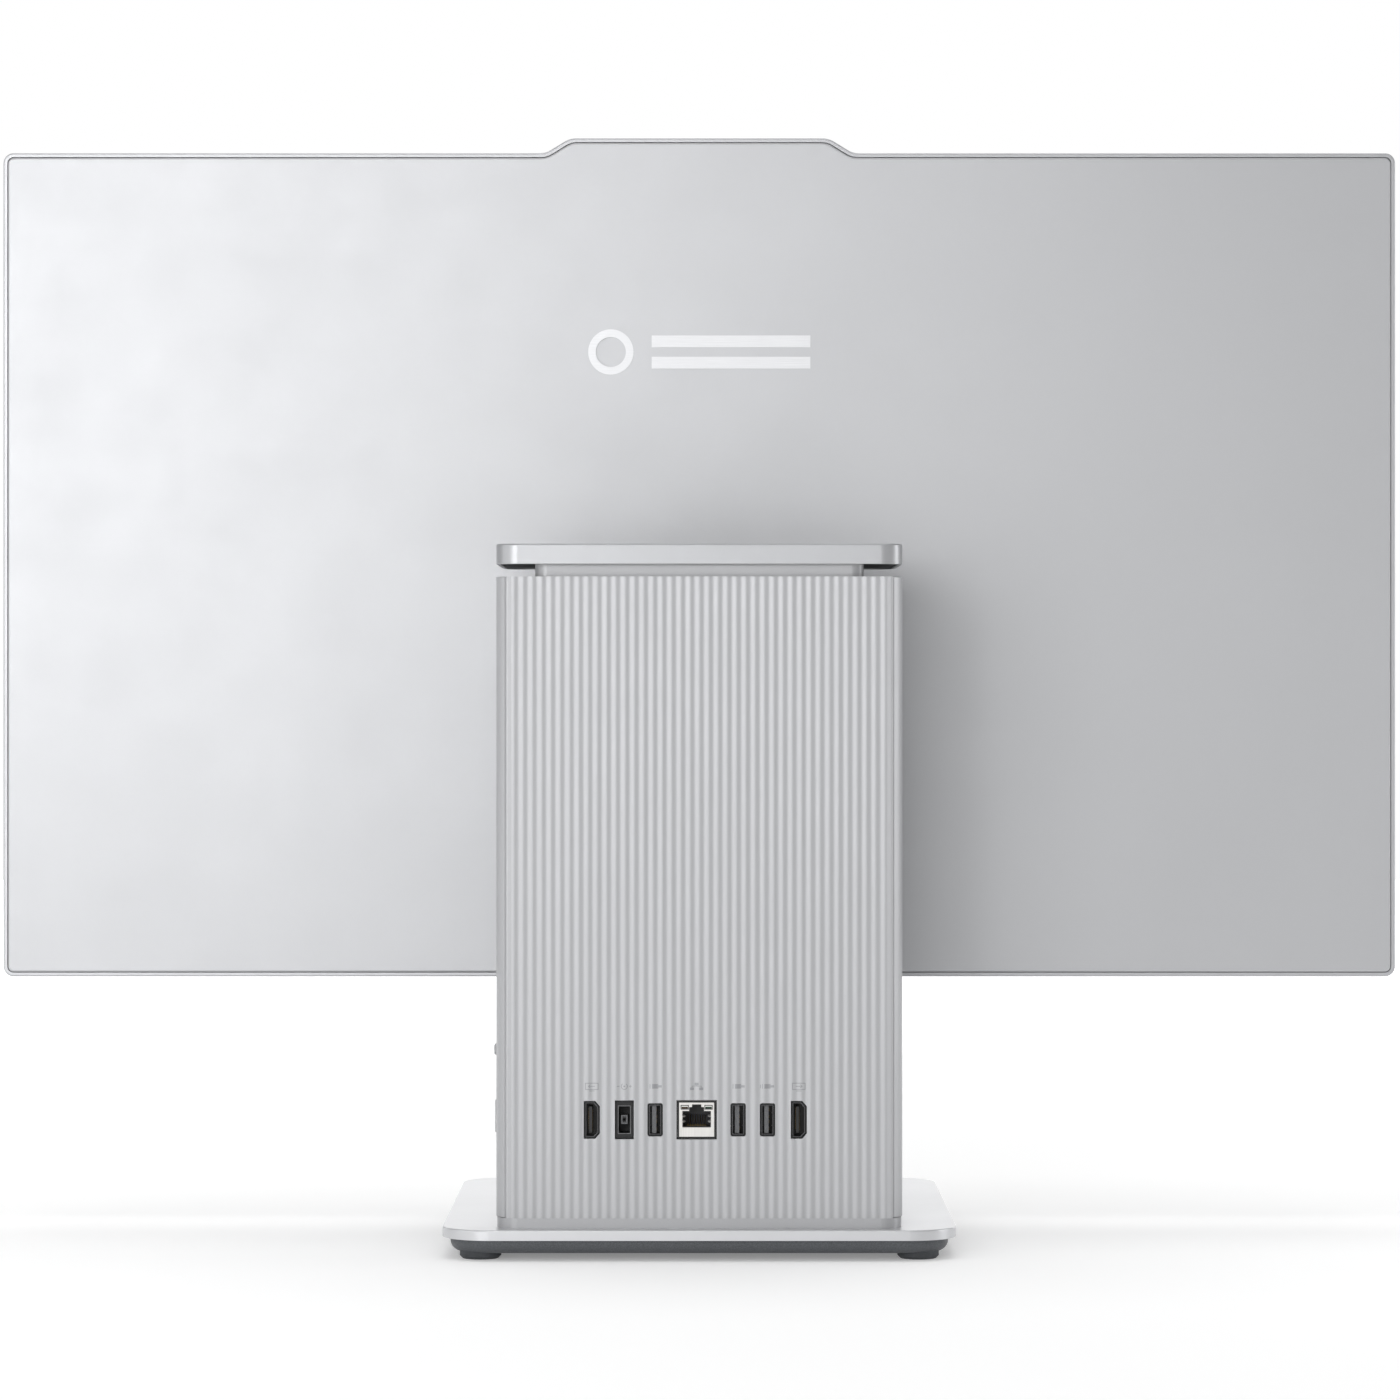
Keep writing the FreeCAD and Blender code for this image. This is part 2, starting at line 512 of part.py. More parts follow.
def build_base():
    plate = node(new_body("base_plate", ("0", "0", PLATE_LOW)), "base_plate")
    boss(
        plate,
        "XY",
        rectangle("dims.base_width", "dims.base_depth"),
        ("0", "0"),
        "0",
        "dims.plate_thick",
        "plate",
    )
    fillet(plate, "dims.base_corner", along(Z_AXIS), "corners")
    fillet(plate, "dims.plate_edge", in_plane("z", "dims.plate_thick"), "top_edge")
    for i, spot in enumerate(BASE_SCREW_SPOTS):
        pocket(
            plate,
            "XY",
            disc("dims.screw_radius + dims.screw_clear"),
            spot,
            "0",
            "dims.plate_thick",
            f"screw_hole_{i}",
        )

    tray = node(new_body("base_tray", ("0", "0", "dims.foot_height")), "base_tray")
    size = [f"dims.base_{side} - 2 * dims.tray_inset" for side in ("width", "depth")]
    boss(tray, "XY", rectangle(*size), ("0", "0"), "0", "dims.tray_height", "slab")
    fillet(tray, "dims.base_corner - dims.tray_inset", along(Z_AXIS), "corners")
    fillet(tray, "dims.tray_edge", in_plane("z", "0"), "lower_edge")
    hollow = [f"{length} - 2 * dims.tray_rim" for length in size]
    pocket(tray, "XY", rectangle(*hollow), ("0", "0"), "dims.tray_floor", "dims.tray_height", "hollow")
    for i, spot in enumerate(FOOT_SPOTS):
        seat = disc("dims.foot_radius + dims.seam")
        pocket(tray, "XY", seat, spot, "0", "dims.foot_sunk", f"foot_seat_{i}")
    for i, spot in enumerate(BASE_SCREW_SPOTS):
        room = disc("dims.screw_head + dims.screw_clear")
        low = "dims.tray_height - dims.screw_head_thick - dims.screw_clear"
        pocket(tray, "XY", room, spot, low, "dims.tray_height", f"screw_room_{i}")

    feet = []
    for i, (x, y) in enumerate(FOOT_SPOTS):
        rim = doc.addObject("Part::Cone", f"foot_{i}_rim")
        rim.setExpression("Radius1", "dims.foot_radius - dims.foot_edge")
        rim.setExpression("Radius2", "dims.foot_radius")
        rim.setExpression("Height", "dims.foot_edge")
        place(rim, (x, y, "0"))
        length = "dims.foot_height + dims.foot_sunk - dims.foot_edge"
        feet.append(
            fuse(
                f"foot_{i}",
                rim,
                rod(f"foot_{i}_pad", "dims.foot_radius", (x, y, "dims.foot_edge"), "z", length),
            ),
        )
    node(group("feet", *feet), "rubber_feet")

    length = "dims.plate_thick + dims.base_screw_grip"
    tips = [(x, y, f"{PLATE_LOW}") for x, y in BASE_SCREW_SPOTS]
    screws = [screw(f"base_screw_{i}", tip, "z", length, head_first=True) for i, tip in enumerate(tips)]
    node(group("base_screw_set", *screws), "base_screws")


# ---------------------------------------------------------------- tower case


def build_plinth():
    band = node(new_body("plinth", ("0", TOWER_MIDDLE, PLATE_TOP)), "plinth")
    size = [f"dims.tower_{side} - 2 * dims.plinth_inset" for side in ("width", "depth")]
    boss(band, "XY", rectangle(*size), ("0", "0"), "0", "dims.plinth_height", "band")
    fillet(band, "dims.tower_corner - dims.plinth_inset", along(Z_AXIS), "corners")
    hollow = [f"{length} - 2 * dims.plinth_rim" for length in size]
    pocket(band, "XY", rectangle(*hollow), ("0", "0"), "0", "dims.plinth_height", "hollow")
    for i, (x, y) in enumerate(BASE_SCREW_SPOTS):
        spot = (x, f"{y} - {TOWER_MIDDLE}")
        pocket(band, "XY", disc("dims.screw_radius"), spot, "0", "dims.base_screw_grip", f"screw_hole_{i}")


def side_holes():
    """The openings in the tower's two sides: name, side (+1 right, -1 left), profile, level."""
    gap = "2 * dims.control_gap"
    clear = "2 * dims.port_gap"
    type_c = ("dims.type_c_width + " + clear, "dims.type_c_height + " + clear, "(dims.type_c_height / 2)")
    button = (f"dims.button_length + {gap}", f"dims.button_width + {gap}", "(dims.button_width / 2)")
    rocker = (f"dims.rocker_width + {gap}", f"dims.rocker_length + {gap}", "dims.rocker_corner")
    lock = ("dims.lock_length", "dims.lock_height", "dims.lock_corner")
    return [
        ("button_hole", 1, rounded(*button), "dims.button_z"),
        ("rocker_hole", 1, rounded(*rocker), "dims.rocker_z"),
        ("type_c_hole_right", 1, rounded(*type_c), "dims.type_c_right_z"),
        ("lock_slot", 1, rounded(*lock), "dims.lock_z"),
        ("lamp_hole", -1, disc("dims.lamp_radius"), "dims.lamp_z"),
        ("type_c_hole_left", -1, rounded(*type_c), "dims.type_c_left_z"),
        ("jack_hole", -1, disc("dims.jack_radius + dims.port_gap / 2"), "dims.jack_z"),
    ]


def build_shell():
    shell = node(new_body("tower_shell", ("0", TOWER_MIDDLE, SHELL_LOW)), "tower_shell")
    height = f"(dims.tower_top - {SHELL_LOW})"
    half = "(dims.tower_depth / 2)"
    boss(shell, "XY", rectangle("dims.tower_width", "dims.tower_depth"), ("0", "0"), "0", height, "case")
    fillet(shell, "dims.tower_corner", along(Z_AXIS), "corners")
    fillet(shell, "dims.shell_edge", in_plane("z", height), "top_edge")
    inside = rounded(
        "dims.tower_width - 2 * dims.shell_wall",
        "dims.tower_depth - 2 * dims.shell_wall",
        "dims.tower_corner - dims.shell_wall",
    )
    pocket(shell, "XY", inside, ("0", "0"), "0", height, "inside")
    opening = rectangle("dims.panel_width + 2 * dims.seam", f"2 * ({TOWER_REAR} - {PANEL_INSIDE})")
    pocket(shell, "XY", opening, ("0", half), "0", height, "rear_opening")
    for name, side, profile, level in side_holes():
        low, high = ("0", "dims.tower_width / 2 + 1") if side > 0 else ("-dims.tower_width / 2 - 1", "0")
        pocket(
            shell,
            "YZ",
            profile,
            (f"dims.side_y - {TOWER_MIDDLE}", f"{level} - {SHELL_LOW}"),
            low,
            high,
            name,
        )
    for i, (x, z) in enumerate(HINGE_SCREW_SPOTS):
        clear = disc("dims.screw_radius + dims.screw_clear")
        pocket(
            shell,
            "XZ",
            clear,
            (x, f"{z} - {SHELL_LOW}"),
            f"-{half}",
            f"dims.shell_wall - {half}",
            f"hinge_screw_hole_{i}",
        )
    wide = "dims.tower_width / 2 + 1"
    level = f"dims.intake_low + dims.intake_length / 2 - {SHELL_LOW}"
    first = (f"dims.intake_front - {TOWER_MIDDLE}", level)
    slot = rounded("dims.intake_width", "dims.intake_length", "(dims.intake_width / 2)")
    slots = pocket(shell, "YZ", slot, first, f"-({wide})", wide, "intake_slot")
    row_of(shell, slots, "Y", "dims.intake_pitch", "dims.intake_count", "intake_slots")


def rear_openings():
    """The cut-outs in the ribbed panel, one round each connector."""
    gap = "dims.port_gap"
    holes = [(f"usb_hole_{n}", usb_outline(gap), x) for n, x in enumerate(USB_X, 1)]
    holes += [(f"hdmi_hole_{n}", hdmi_outline(gap), x) for n, x in enumerate(HDMI_X, 1)]
    inlet = rectangle(f"dims.inlet_width + 2 * {gap}", f"dims.inlet_height + 2 * {gap}")
    network = rectangle(f"dims.lan_width + 2 * {gap}", f"dims.lan_height + 2 * {gap}")
    return holes + [("inlet_hole", inlet, "dims.power_inlet_x"), ("network_hole", network, "dims.lan_x")]


def build_rear_panel():
    panel = node(new_body("rear_panel", ("0", PANEL_FLOOR, PLINTH_TOP)), "rear_panel")
    height = f"(dims.tower_top - {PLINTH_TOP})"
    slab = rectangle("dims.panel_width", "dims.panel_thick")
    boss(panel, "XY", slab, ("0", "-dims.panel_thick / 2"), "0", height, "slab")
    fillet(panel, "dims.panel_edge", both(along(Z_AXIS), in_plane("y", "0")), "long_edges")
    first = "-dims.rib_pitch * (dims.rib_count - 1) / 2"
    wave = ("dims.rib_pitch / 2", "dims.rib_rise / 2")
    rib = boss(panel, "XY", segment(*wave), (first, "0"), "0", height, "rib")
    row_of(panel, rib, "X", "dims.rib_pitch", "dims.rib_count", "ribs")
    valley = (f"{first} + dims.rib_pitch / 2", "0")
    groove = pocket(panel, "XY", segment(*wave, -1), valley, "0", height, "groove")
    row_of(panel, groove, "X", "dims.rib_pitch", "dims.rib_count - 1", "grooves")
    for name, profile, x in rear_openings():
        centre = (x, f"dims.port_level - {PLINTH_TOP}")
        pocket(panel, "XZ", profile, centre, "-dims.panel_thick - 1", "dims.rib_rise + 1", name)
    hook = rectangle("dims.hook_width", "dims.hook_height")
    for i, (x, z) in enumerate([(-1, 0.2), (1, 0.2), (-1, 0.9), (1, 0.9)]):
        centre = (f"{x} * dims.hook_x", f"{z} * {height}")
        boss(
            panel,
            "XZ",
            hook,
            centre,
            "-dims.panel_thick - dims.hook_reach",
            "-dims.panel_thick",
            f"hook_{i}",
        )


def build_top():
    deck = node(new_body("tower_deck", ("0", TOWER_MIDDLE, DECK_TOP)), "tower_deck")
    inside = "(dims.tower_depth / 2 - dims.shell_wall)"
    width = "(dims.tower_width - 2 * dims.shell_wall)"
    slab = rounded(width, f"2 * {inside}", "dims.tower_corner - dims.shell_wall")
    boss(deck, "XY", slab, ("0", "0"), "-dims.deck_thick", "0", "slab")
    strip = rectangle("dims.panel_width + 2 * dims.seam", "2 * (dims.panel_thick + dims.rib_rise)")
    pocket(deck, "XY", strip, ("0", "dims.tower_depth / 2"), "-dims.deck_thick", "0", "panel_edge")
    rise = f"({LINER_LOW} - {DECK_TOP})"
    neck = rounded("dims.neck_width", "dims.neck_depth", "dims.neck_corner")
    boss(deck, "XY", neck, ("0", "0"), "0", rise, "neck")
    flue = rectangle("dims.neck_width - 2 * dims.neck_wall", "dims.neck_depth - 2 * dims.neck_wall")
    pocket(deck, "XY", flue, ("0", "0"), "-dims.deck_thick", rise, "flue")
    along_y = "-dims.vent_pitch * (dims.vent_count - 1) / 2"
    slot = rounded("dims.vent_length", "dims.vent_width", "(dims.vent_width / 2)")
    for name, side in (("right", "+"), ("left", "-")):
        across = f"{side}(dims.neck_width / 2 + dims.vent_margin + dims.vent_length / 2)"
        vent = pocket(deck, "XY", slot, (across, along_y), "-dims.deck_thick", "0", f"{name}_vent")
        row_of(deck, vent, "Y", "dims.vent_pitch", "dims.vent_count", f"{name}_vents")

    cap = node(new_body("top_cap", ("0", TOWER_MIDDLE, CAP_LOW)), "top_cap")
    boss(
        cap,
        "XY",
        rectangle("dims.tower_width", "dims.tower_depth"),
        ("0", "0"),
        "0",
        "dims.cap_height",
        "cap",
    )
    fillet(cap, "dims.tower_corner", along(Z_AXIS), "corners")
    fillet(cap, "dims.cap_edge", in_plane("z", "dims.cap_height"), "top_edge")
    fillet(cap, "dims.cap_lower_edge", in_plane("z", "0"), "lower_edge")
    room = [f"dims.tower_{side} - 2 * dims.cap_wall" for side in ("width", "depth")]
    inner = rounded(*room, "dims.tower_corner - dims.cap_wall")
    pocket(cap, "XY", inner, ("0", "0"), "0", "dims.cap_height - dims.cap_roof", "inside")

    liner = node(new_body("cap_liner", ("0", TOWER_MIDDLE, LINER_LOW)), "cap_liner")
    fill = "(dims.cap_height - dims.cap_roof - dims.liner_recess)"
    boss(liner, "XY", rounded(*room, "dims.tower_corner - dims.cap_wall"), ("0", "0"), "0", fill, "liner")
    hollow = [f"{length} - 2 * dims.liner_rim" for length in room]
    pocket(liner, "XY", rectangle(*hollow), ("0", "0"), "dims.liner_floor", fill, "hollow")


# ---------------------------------------------------------------- rear ports


def usb_outline(grow):
    return rounded(
        f"dims.usb_width + 2 * {grow}", f"dims.usb_height + 2 * {grow}", f"dims.usb_corner + {grow}"
    )


def hdmi_outline(grow):
    """A flat long side towards +X; the other side is narrowed at both ends."""
    x, z = f"(dims.hdmi_width / 2 + {grow})", f"(dims.hdmi_height / 2 + {grow})"
    shoulder, narrow = f"({x} - dims.hdmi_shoulder)", f"({z} - dims.hdmi_narrow)"
    corners = [(x, f"-{z}"), (x, z), (f"-{shoulder}", z), (f"-{x}", narrow), (f"-{x}", f"-{narrow}")]
    return polygon(corners + [(f"-{shoulder}", f"-{z}")])


def port_body(name, x):
    """An empty body whose origin is the middle of the port's own face."""
    return node(new_body(name, (x, PORT_FACE, "dims.port_level")), name)


def build_rear_ports():
    for n, x in enumerate(USB_X, 1):
        port = port_body(f"usb_port_{n}", x)
        boss(port, "XZ", usb_outline("0"), ("0", "0"), f"-{PORT_DEPTH}", "0", "shell")
        pocket(port, "XZ", usb_outline("(-dims.usb_wall)"), ("0", "0"), "-dims.usb_depth", "0", "mouth")
        tongue = rectangle("dims.usb_tongue_width", "dims.usb_tongue_height")
        centre = ("dims.usb_tongue_shift", "0")
        boss(port, "XZ", tongue, centre, "-dims.usb_depth", "-dims.tongue_setback", "tongue")

    for name, x in zip(("video_out_port", "video_in_port"), HDMI_X):
        port = port_body(name, x)
        boss(port, "XZ", hdmi_outline("0"), ("0", "0"), f"-{PORT_DEPTH}", "0", "shell")
        pocket(port, "XZ", hdmi_outline("(-dims.hdmi_wall)"), ("0", "0"), "-dims.hdmi_depth", "0", "mouth")
        tongue = rectangle("dims.hdmi_tongue_width", "dims.hdmi_tongue_height")
        centre = ("dims.hdmi_tongue_shift", "0")
        boss(port, "XZ", tongue, centre, "-dims.hdmi_depth", "-dims.tongue_setback", "tongue")

    inlet = port_body("power_inlet", "dims.power_inlet_x")
    boss(
        inlet,
        "XZ",
        rectangle("dims.inlet_width", "dims.inlet_height"),
        ("0", "0"),
        f"-{PORT_DEPTH}",
        "0",
        "housing",
    )
    fillet(inlet, "dims.inlet_corner", along(Y_AXIS), "corners")
    mouth = rounded("dims.inlet_mouth_width", "dims.inlet_mouth_height", "dims.inlet_corner")
    pocket(inlet, "XZ", mouth, ("0", "0"), "-dims.inlet_depth", "0", "mouth")
    pin = rounded("dims.inlet_pin_width", "dims.inlet_pin_height", "dims.inlet_pin_corner")
    boss(inlet, "XZ", pin, ("0", "0"), "-dims.inlet_depth", "-dims.tongue_setback", "pin")
    pocket(
        inlet,
        "XZ",
        disc("dims.inlet_pin_bore"),
        ("0", "0"),
        "-dims.inlet_depth / 2",
        "-dims.tongue_setback",
        "pin_bore",
    )

    build_network_port()


def build_network_port():
    port = port_body("network_port", "dims.lan_x")
    low = "(dims.lan_mouth_low - dims.lan_height / 2)"
    levels = [low]
    for step in ("dims.lan_mouth_height", "dims.lan_key_height", "dims.lan_latch_height"):
        levels.append(f"({levels[-1]} + {step})")
    halves = ["dims.lan_mouth_width / 2", "dims.lan_key_width / 2", "dims.lan_latch_width / 2"]
    right = []
    for half, bottom, top in zip(halves, levels, levels[1:]):
        right += [(half, bottom), (half, top)]
    left = [(f"-{x}", z) for x, z in reversed(right)]
    boss(
        port,
        "XZ",
        rectangle("dims.lan_width", "dims.lan_height"),
        ("0", "0"),
        f"-{PORT_DEPTH}",
        "0",
        "shield",
    )
    fillet(port, "dims.lan_corner", along(Y_AXIS), "corners")
    pocket(port, "XZ", polygon(right + left), ("0", "0"), "-dims.lan_depth", "0", "mouth")
    lamp = rectangle("dims.lan_lamp_width", "dims.lan_lamp_height")
    for side, sign in (("right", ""), ("left", "-")):
        centre = (f"{sign}dims.lan_lamp_x", "dims.lan_lamp_rise - dims.lan_height / 2")
        pocket(port, "XZ", lamp, centre, "-dims.lan_lamp_deep", "0", f"{side}_lamp")
    wire = rectangle("dims.lan_contact_width", "dims.lan_contact_thick")
    centre = ("-3.5 * dims.lan_contact_pitch", f"{low} + dims.lan_contact_thick / 2")
    contact = boss(port, "XZ", wire, centre, "-dims.lan_depth", "-dims.lan_contact_back", "contact")
    row_of(port, contact, "X", "dims.lan_contact_pitch", "8", "contacts")


# ---------------------------------------------------------------- side ports and controls


def side_body(name, side, level):
    """An empty body whose origin lies on the tower's outer side face."""
    return node(new_body(name, (f"{side}{SIDE}", "dims.side_y", level)), name)


def build_side_ports():
    for name, sign, level in (("right", "", "dims.type_c_right_z"), ("left", "-", "dims.type_c_left_z")):
        port = side_body(f"type_c_port_{name}", sign, level)
        deep, mouth_deep = "dims.type_c_depth", "dims.type_c_mouth"
        back = "dims.type_c_back"
        spans = [(f"-{deep}", f"-{back}"), (f"-{mouth_deep}", f"-{back}")]
        if sign:
            spans = [(back, deep), (back, mouth_deep)]
        outer = rounded("dims.type_c_width", "dims.type_c_height", "(dims.type_c_height / 2)")
        wall = "2 * dims.type_c_wall"
        mouth_width, mouth_height = f"dims.type_c_width - {wall}", f"dims.type_c_height - {wall}"
        inner = rounded(mouth_width, mouth_height, f"({mouth_height}) / 2")
        boss(port, "YZ", outer, ("0", "0"), *spans[0], "shell")
        pocket(port, "YZ", inner, ("0", "0"), *spans[1], "mouth")
        tongue = rectangle("dims.type_c_width - 2 * dims.type_c_tongue_side", "dims.type_c_tongue")
        boss(port, "YZ", tongue, ("0", "0"), *spans[1], "tongue")

    jack = side_body("audio_jack", "-", "dims.jack_z")
    boss(jack, "YZ", disc("dims.jack_radius"), ("0", "0"), "dims.jack_back", "dims.jack_depth", "barrel")
    floor = "dims.jack_depth - dims.jack_floor"
    pocket(jack, "YZ", disc("dims.jack_bore"), ("0", "0"), "dims.jack_back", floor, "bore")

    lamp = side_body("status_light", "-", "dims.lamp_z")
    boss(
        lamp,
        "YZ",
        disc("dims.lamp_radius"),
        ("0", "0"),
        "-dims.lamp_proud",
        "dims.lamp_depth",
        "light_pipe",
    )


def build_controls():
    button = side_body("power_button", "", "dims.button_z")
    stem = rounded("dims.button_length", "dims.button_width", "(dims.button_width / 2)")
    tip = "(dims.button_proud - dims.button_depth)"
    boss(button, "YZ", stem, ("0", "0"), tip, "dims.button_proud", "cap")
    chamfer(button, "dims.button_edge", in_plane("x", "dims.button_proud"), "edge")
    grow = "2 * dims.button_flange"
    flange = rounded(
        f"dims.button_length + {grow}", f"dims.button_width + {grow}", f"(dims.button_width + {grow}) / 2"
    )
    high = "(-dims.shell_wall - dims.control_gap)"
    boss(button, "YZ", flange, ("0", "0"), f"({high} - dims.flange_thick)", high, "flange")

    rocker = side_body("brightness_rocker", "", "dims.rocker_z")
    key = rounded("dims.rocker_width", "dims.rocker_length", "dims.rocker_corner")
    boss(rocker, "YZ", key, ("0", "0"), "dims.rocker_proud - dims.rocker_depth", "dims.rocker_proud", "key")
    fillet(rocker, "dims.rocker_edge", in_plane("x", "dims.rocker_proud"), "edge")
    high = "(-dims.shell_wall - dims.rocker_relief)"
    wing = rectangle("dims.rocker_width", f"dims.rocker_length + {grow}")
    boss(rocker, "YZ", wing, ("0", "0"), f"({high} - dims.flange_thick)", high, "stop_wings")
    pin_reach = "(dims.rocker_width / 2 + dims.rocker_pin_out)"
    pin_spot = ("-dims.rocker_pivot", "0")
    boss(rocker, "XZ", disc("dims.rocker_pin"), pin_spot, f"-{pin_reach}", pin_reach, "pivot_pin")

    x = "dims.side_board_x"
    board_size = (
        "dims.side_board_thick", "dims.side_board_width", "dims.side_board_high - dims.side_board_low"
    )
    front = f"{BOARD_REAR} + 0.2"
    board_front = f"({x} + dims.side_board_thick)"
    right = block("right_side_board", (x, front, "dims.side_board_low"), board_size)
    switch_size = ("dims.switch_thick", "3", "3")
    switch = block("power_switch", (board_front, "dims.side_y - 1.5", "dims.button_z - 1.5"), switch_size)
    pivot_x = f"({SIDE} - dims.rocker_pivot)"
    cheeks = []
    for name, sign in (("rear", "+"), ("front", "-")):
        y = f"(dims.side_y {sign} (dims.rocker_width / 2 + dims.cheek_gap + dims.cheek_thick / 2))"
        middle = (f"({board_front} + {pivot_x} + dims.cheek_over) / 2", y, "dims.rocker_z")
        span = (f"({pivot_x} + dims.cheek_over - {board_front})", "dims.cheek_thick", "dims.cheek_height")
        cheeks.append(centred_block(f"{name}_cheek", middle, span))
    pivot_bore = rod(
        "rocker_pivot_bore",
        "dims.rocker_pin + 0.05",
        (pivot_x, "dims.side_y - 10", "dims.rocker_z"),
        "y",
        "20",
    )
    right_board = cut("right_side_assembly", fuse("right_side_solid", right, switch, *cheeks), pivot_bore)
    left = block(
        "left_side_board", (f"-{x} - dims.side_board_thick", front, "dims.side_board_low"), board_size
    )
    jack_hole = rod(
        "jack_board_hole",
        "dims.jack_radius",
        ("-dims.tower_width / 2", "dims.side_y", "dims.jack_z"),
        "x",
        "20",
    )
    left_board = cut("left_side_assembly", left, jack_hole)
    node(group("side_board_pair", right_board, left_board), "side_boards")


# ---------------------------------------------------------------- electronics

def build_chassis():
    sheet_thick = "dims.chassis_sheet"
    deep = "(dims.chassis_rear - dims.chassis_front)"
    high = f"(dims.chassis_high - {PLINTH_TOP})"
    half = "(dims.chassis_width / 2)"
    middle = f"({PLINTH_TOP} + dims.chassis_high) / 2"
    centre_y = "(dims.chassis_front + dims.chassis_rear) / 2"
    shell = centred_block("chassis_block", ("0", centre_y, middle), ("dims.chassis_width", deep, high))
    room = [f"(dims.chassis_width - 2 * {sheet_thick})", deep, high]
    hollow = centred_block(
        "chassis_room", ("0", f"({centre_y}) + {sheet_thick}", f"({middle}) + {sheet_thick}"), room
    )
    flanges = []
    for name, sign in (("right", ""), ("left", "-")):
        x = f"{sign}({half} - dims.chassis_flange / 2)"
        y = f"(dims.chassis_rear - {sheet_thick} / 2)"
        flanges.append(
            centred_block(f"{name}_flange", (x, y, middle), ("dims.chassis_flange", sheet_thick, high))
        )
    posts, holes = [], []
    for i, (x, z) in enumerate(BOARD_SCREW_SPOTS):
        start = f"(dims.chassis_rear - {sheet_thick})"
        posts.append(
            rod(f"post_{i}", "dims.post_radius", (x, start, z), "y", f"(dims.board_front - {start})")
        )
        holes.append(rod(f"post_hole_{i}", "dims.screw_radius", (x, f"{start} - 1", z), "y", "20"))
    for i, (x, z) in enumerate(HINGE_SCREW_SPOTS):
        holes.append(rod(f"hinge_thread_{i}", "dims.screw_radius", (x, TOWER_FRONT, z), "y", "10"))
    intakes = []
    for name, sign in (("right", ""), ("left", "-")):
        y = "dims.intake_front + dims.intake_pitch * (dims.intake_count - 1) / 2"
        z = "dims.intake_low + dims.intake_length / 2"
        size = ("dims.chassis_width / 4", "dims.chassis_window", "dims.intake_length")
        intakes.append(centred_block(f"{name}_window", (f"{sign}{half}", y, z), size))
    body = fuse("chassis_solid", cut("chassis_tub", shell, hollow, *intakes), *flanges, *posts)
    node(cut("chassis_bored", body, *holes), "chassis")


def build_mainboard():
    high = "(dims.board_high - dims.board_low)"
    front = "dims.board_front"
    board = block(
        "board_blank",
        ("-dims.board_width / 2", front, "dims.board_low"),
        ("dims.board_width", "dims.board_thick", high),
    )
    holes = []
    for i, (x, z) in enumerate(BOARD_SCREW_SPOTS):
        holes.append(
            rod(f"board_hole_{i}", "dims.screw_radius + dims.screw_clear", (x, f"{front} - 1", z), "y", "5")
        )
    node(cut("board_drilled", board, *holes), "mainboard")
    length = f"({BOARD_REAR} - dims.chassis_rear + dims.chassis_sheet)"
    screws = []
    for i, (x, z) in enumerate(BOARD_SCREW_SPOTS):
        tip = (x, "(dims.chassis_rear - dims.chassis_sheet)", z)
        screws.append(screw(f"board_screw_{i}", tip, "y", length))
    node(group("board_screw_set", *screws), "mainboard_screws")

    size = "dims.processor_size"
    base = "dims.processor_base"
    lid = f"({size} - 2 * dims.processor_lid_inset)"
    face = f"({front} - dims.processor_thick)"
    substrate = centred_block(
        "processor_base", ("0", f"{front} - {base} / 2", "dims.processor_z"), (size, base, size)
    )
    lid_size = (lid, f"dims.processor_thick - {base}", lid)
    lid_block = centred_block(
        "processor_lid", ("0", f"({face} + {front} - {base}) / 2", "dims.processor_z"), lid_size
    )
    node(fuse("processor_solid", substrate, lid_block), "processor")

    plate_middle = f"({face} - dims.cold_plate_thick / 2)"
    plate_size = ("dims.plate_size", "dims.cold_plate_thick", "dims.plate_size")
    node(
        centred_block("cold_plate_block", ("0", plate_middle, "dims.processor_z"), plate_size), "cold_plate"
    )

    pipe_y = f"({face} - dims.cold_plate_thick - dims.pipe_radius)"
    low = "(dims.processor_z - dims.plate_size / 2)"
    fin_top = "(dims.fin_low + dims.fin_high)"
    spots = [(f"{i} * dims.pipe_spread", pipe_y) for i in (-1, 0, 1)]
    pipes = []
    for i, (x, y) in enumerate(spots):
        reach = f"{fin_top} - {low} + dims.pipe_end"
        pipes.append(rod(f"pipe_{i}", "dims.pipe_radius", (x, y, low), "z", reach))
    node(group("pipe_set", *pipes), "heat_pipes")

    stack = node(
        new_body("fin_stack", ("0", "dims.fin_rear - dims.fin_deep / 2", "dims.fin_low")), "fin_stack"
    )
    width = "(dims.fin_pitch * (dims.fin_count - 1) + dims.fin_sheet)"
    base = rectangle(width, "dims.fin_deep")
    boss(stack, "XY", base, ("0", "0"), "dims.fin_high - dims.fin_sheet", "dims.fin_high", "top_web")
    first = "-dims.fin_pitch * (dims.fin_count - 1) / 2"
    fin = boss(
        stack, "XY", rectangle("dims.fin_sheet", "dims.fin_deep"), (first, "0"), "0", "dims.fin_high", "fin"
    )
    row_of(stack, fin, "X", "dims.fin_pitch", "dims.fin_count", "fins")
    for i, (x, y) in enumerate(spots):
        spot = (x, f"{y} - dims.fin_rear + dims.fin_deep / 2")
        pocket(stack, "XY", disc("dims.pipe_radius"), spot, "0", "dims.fin_high", f"pipe_hole_{i}")


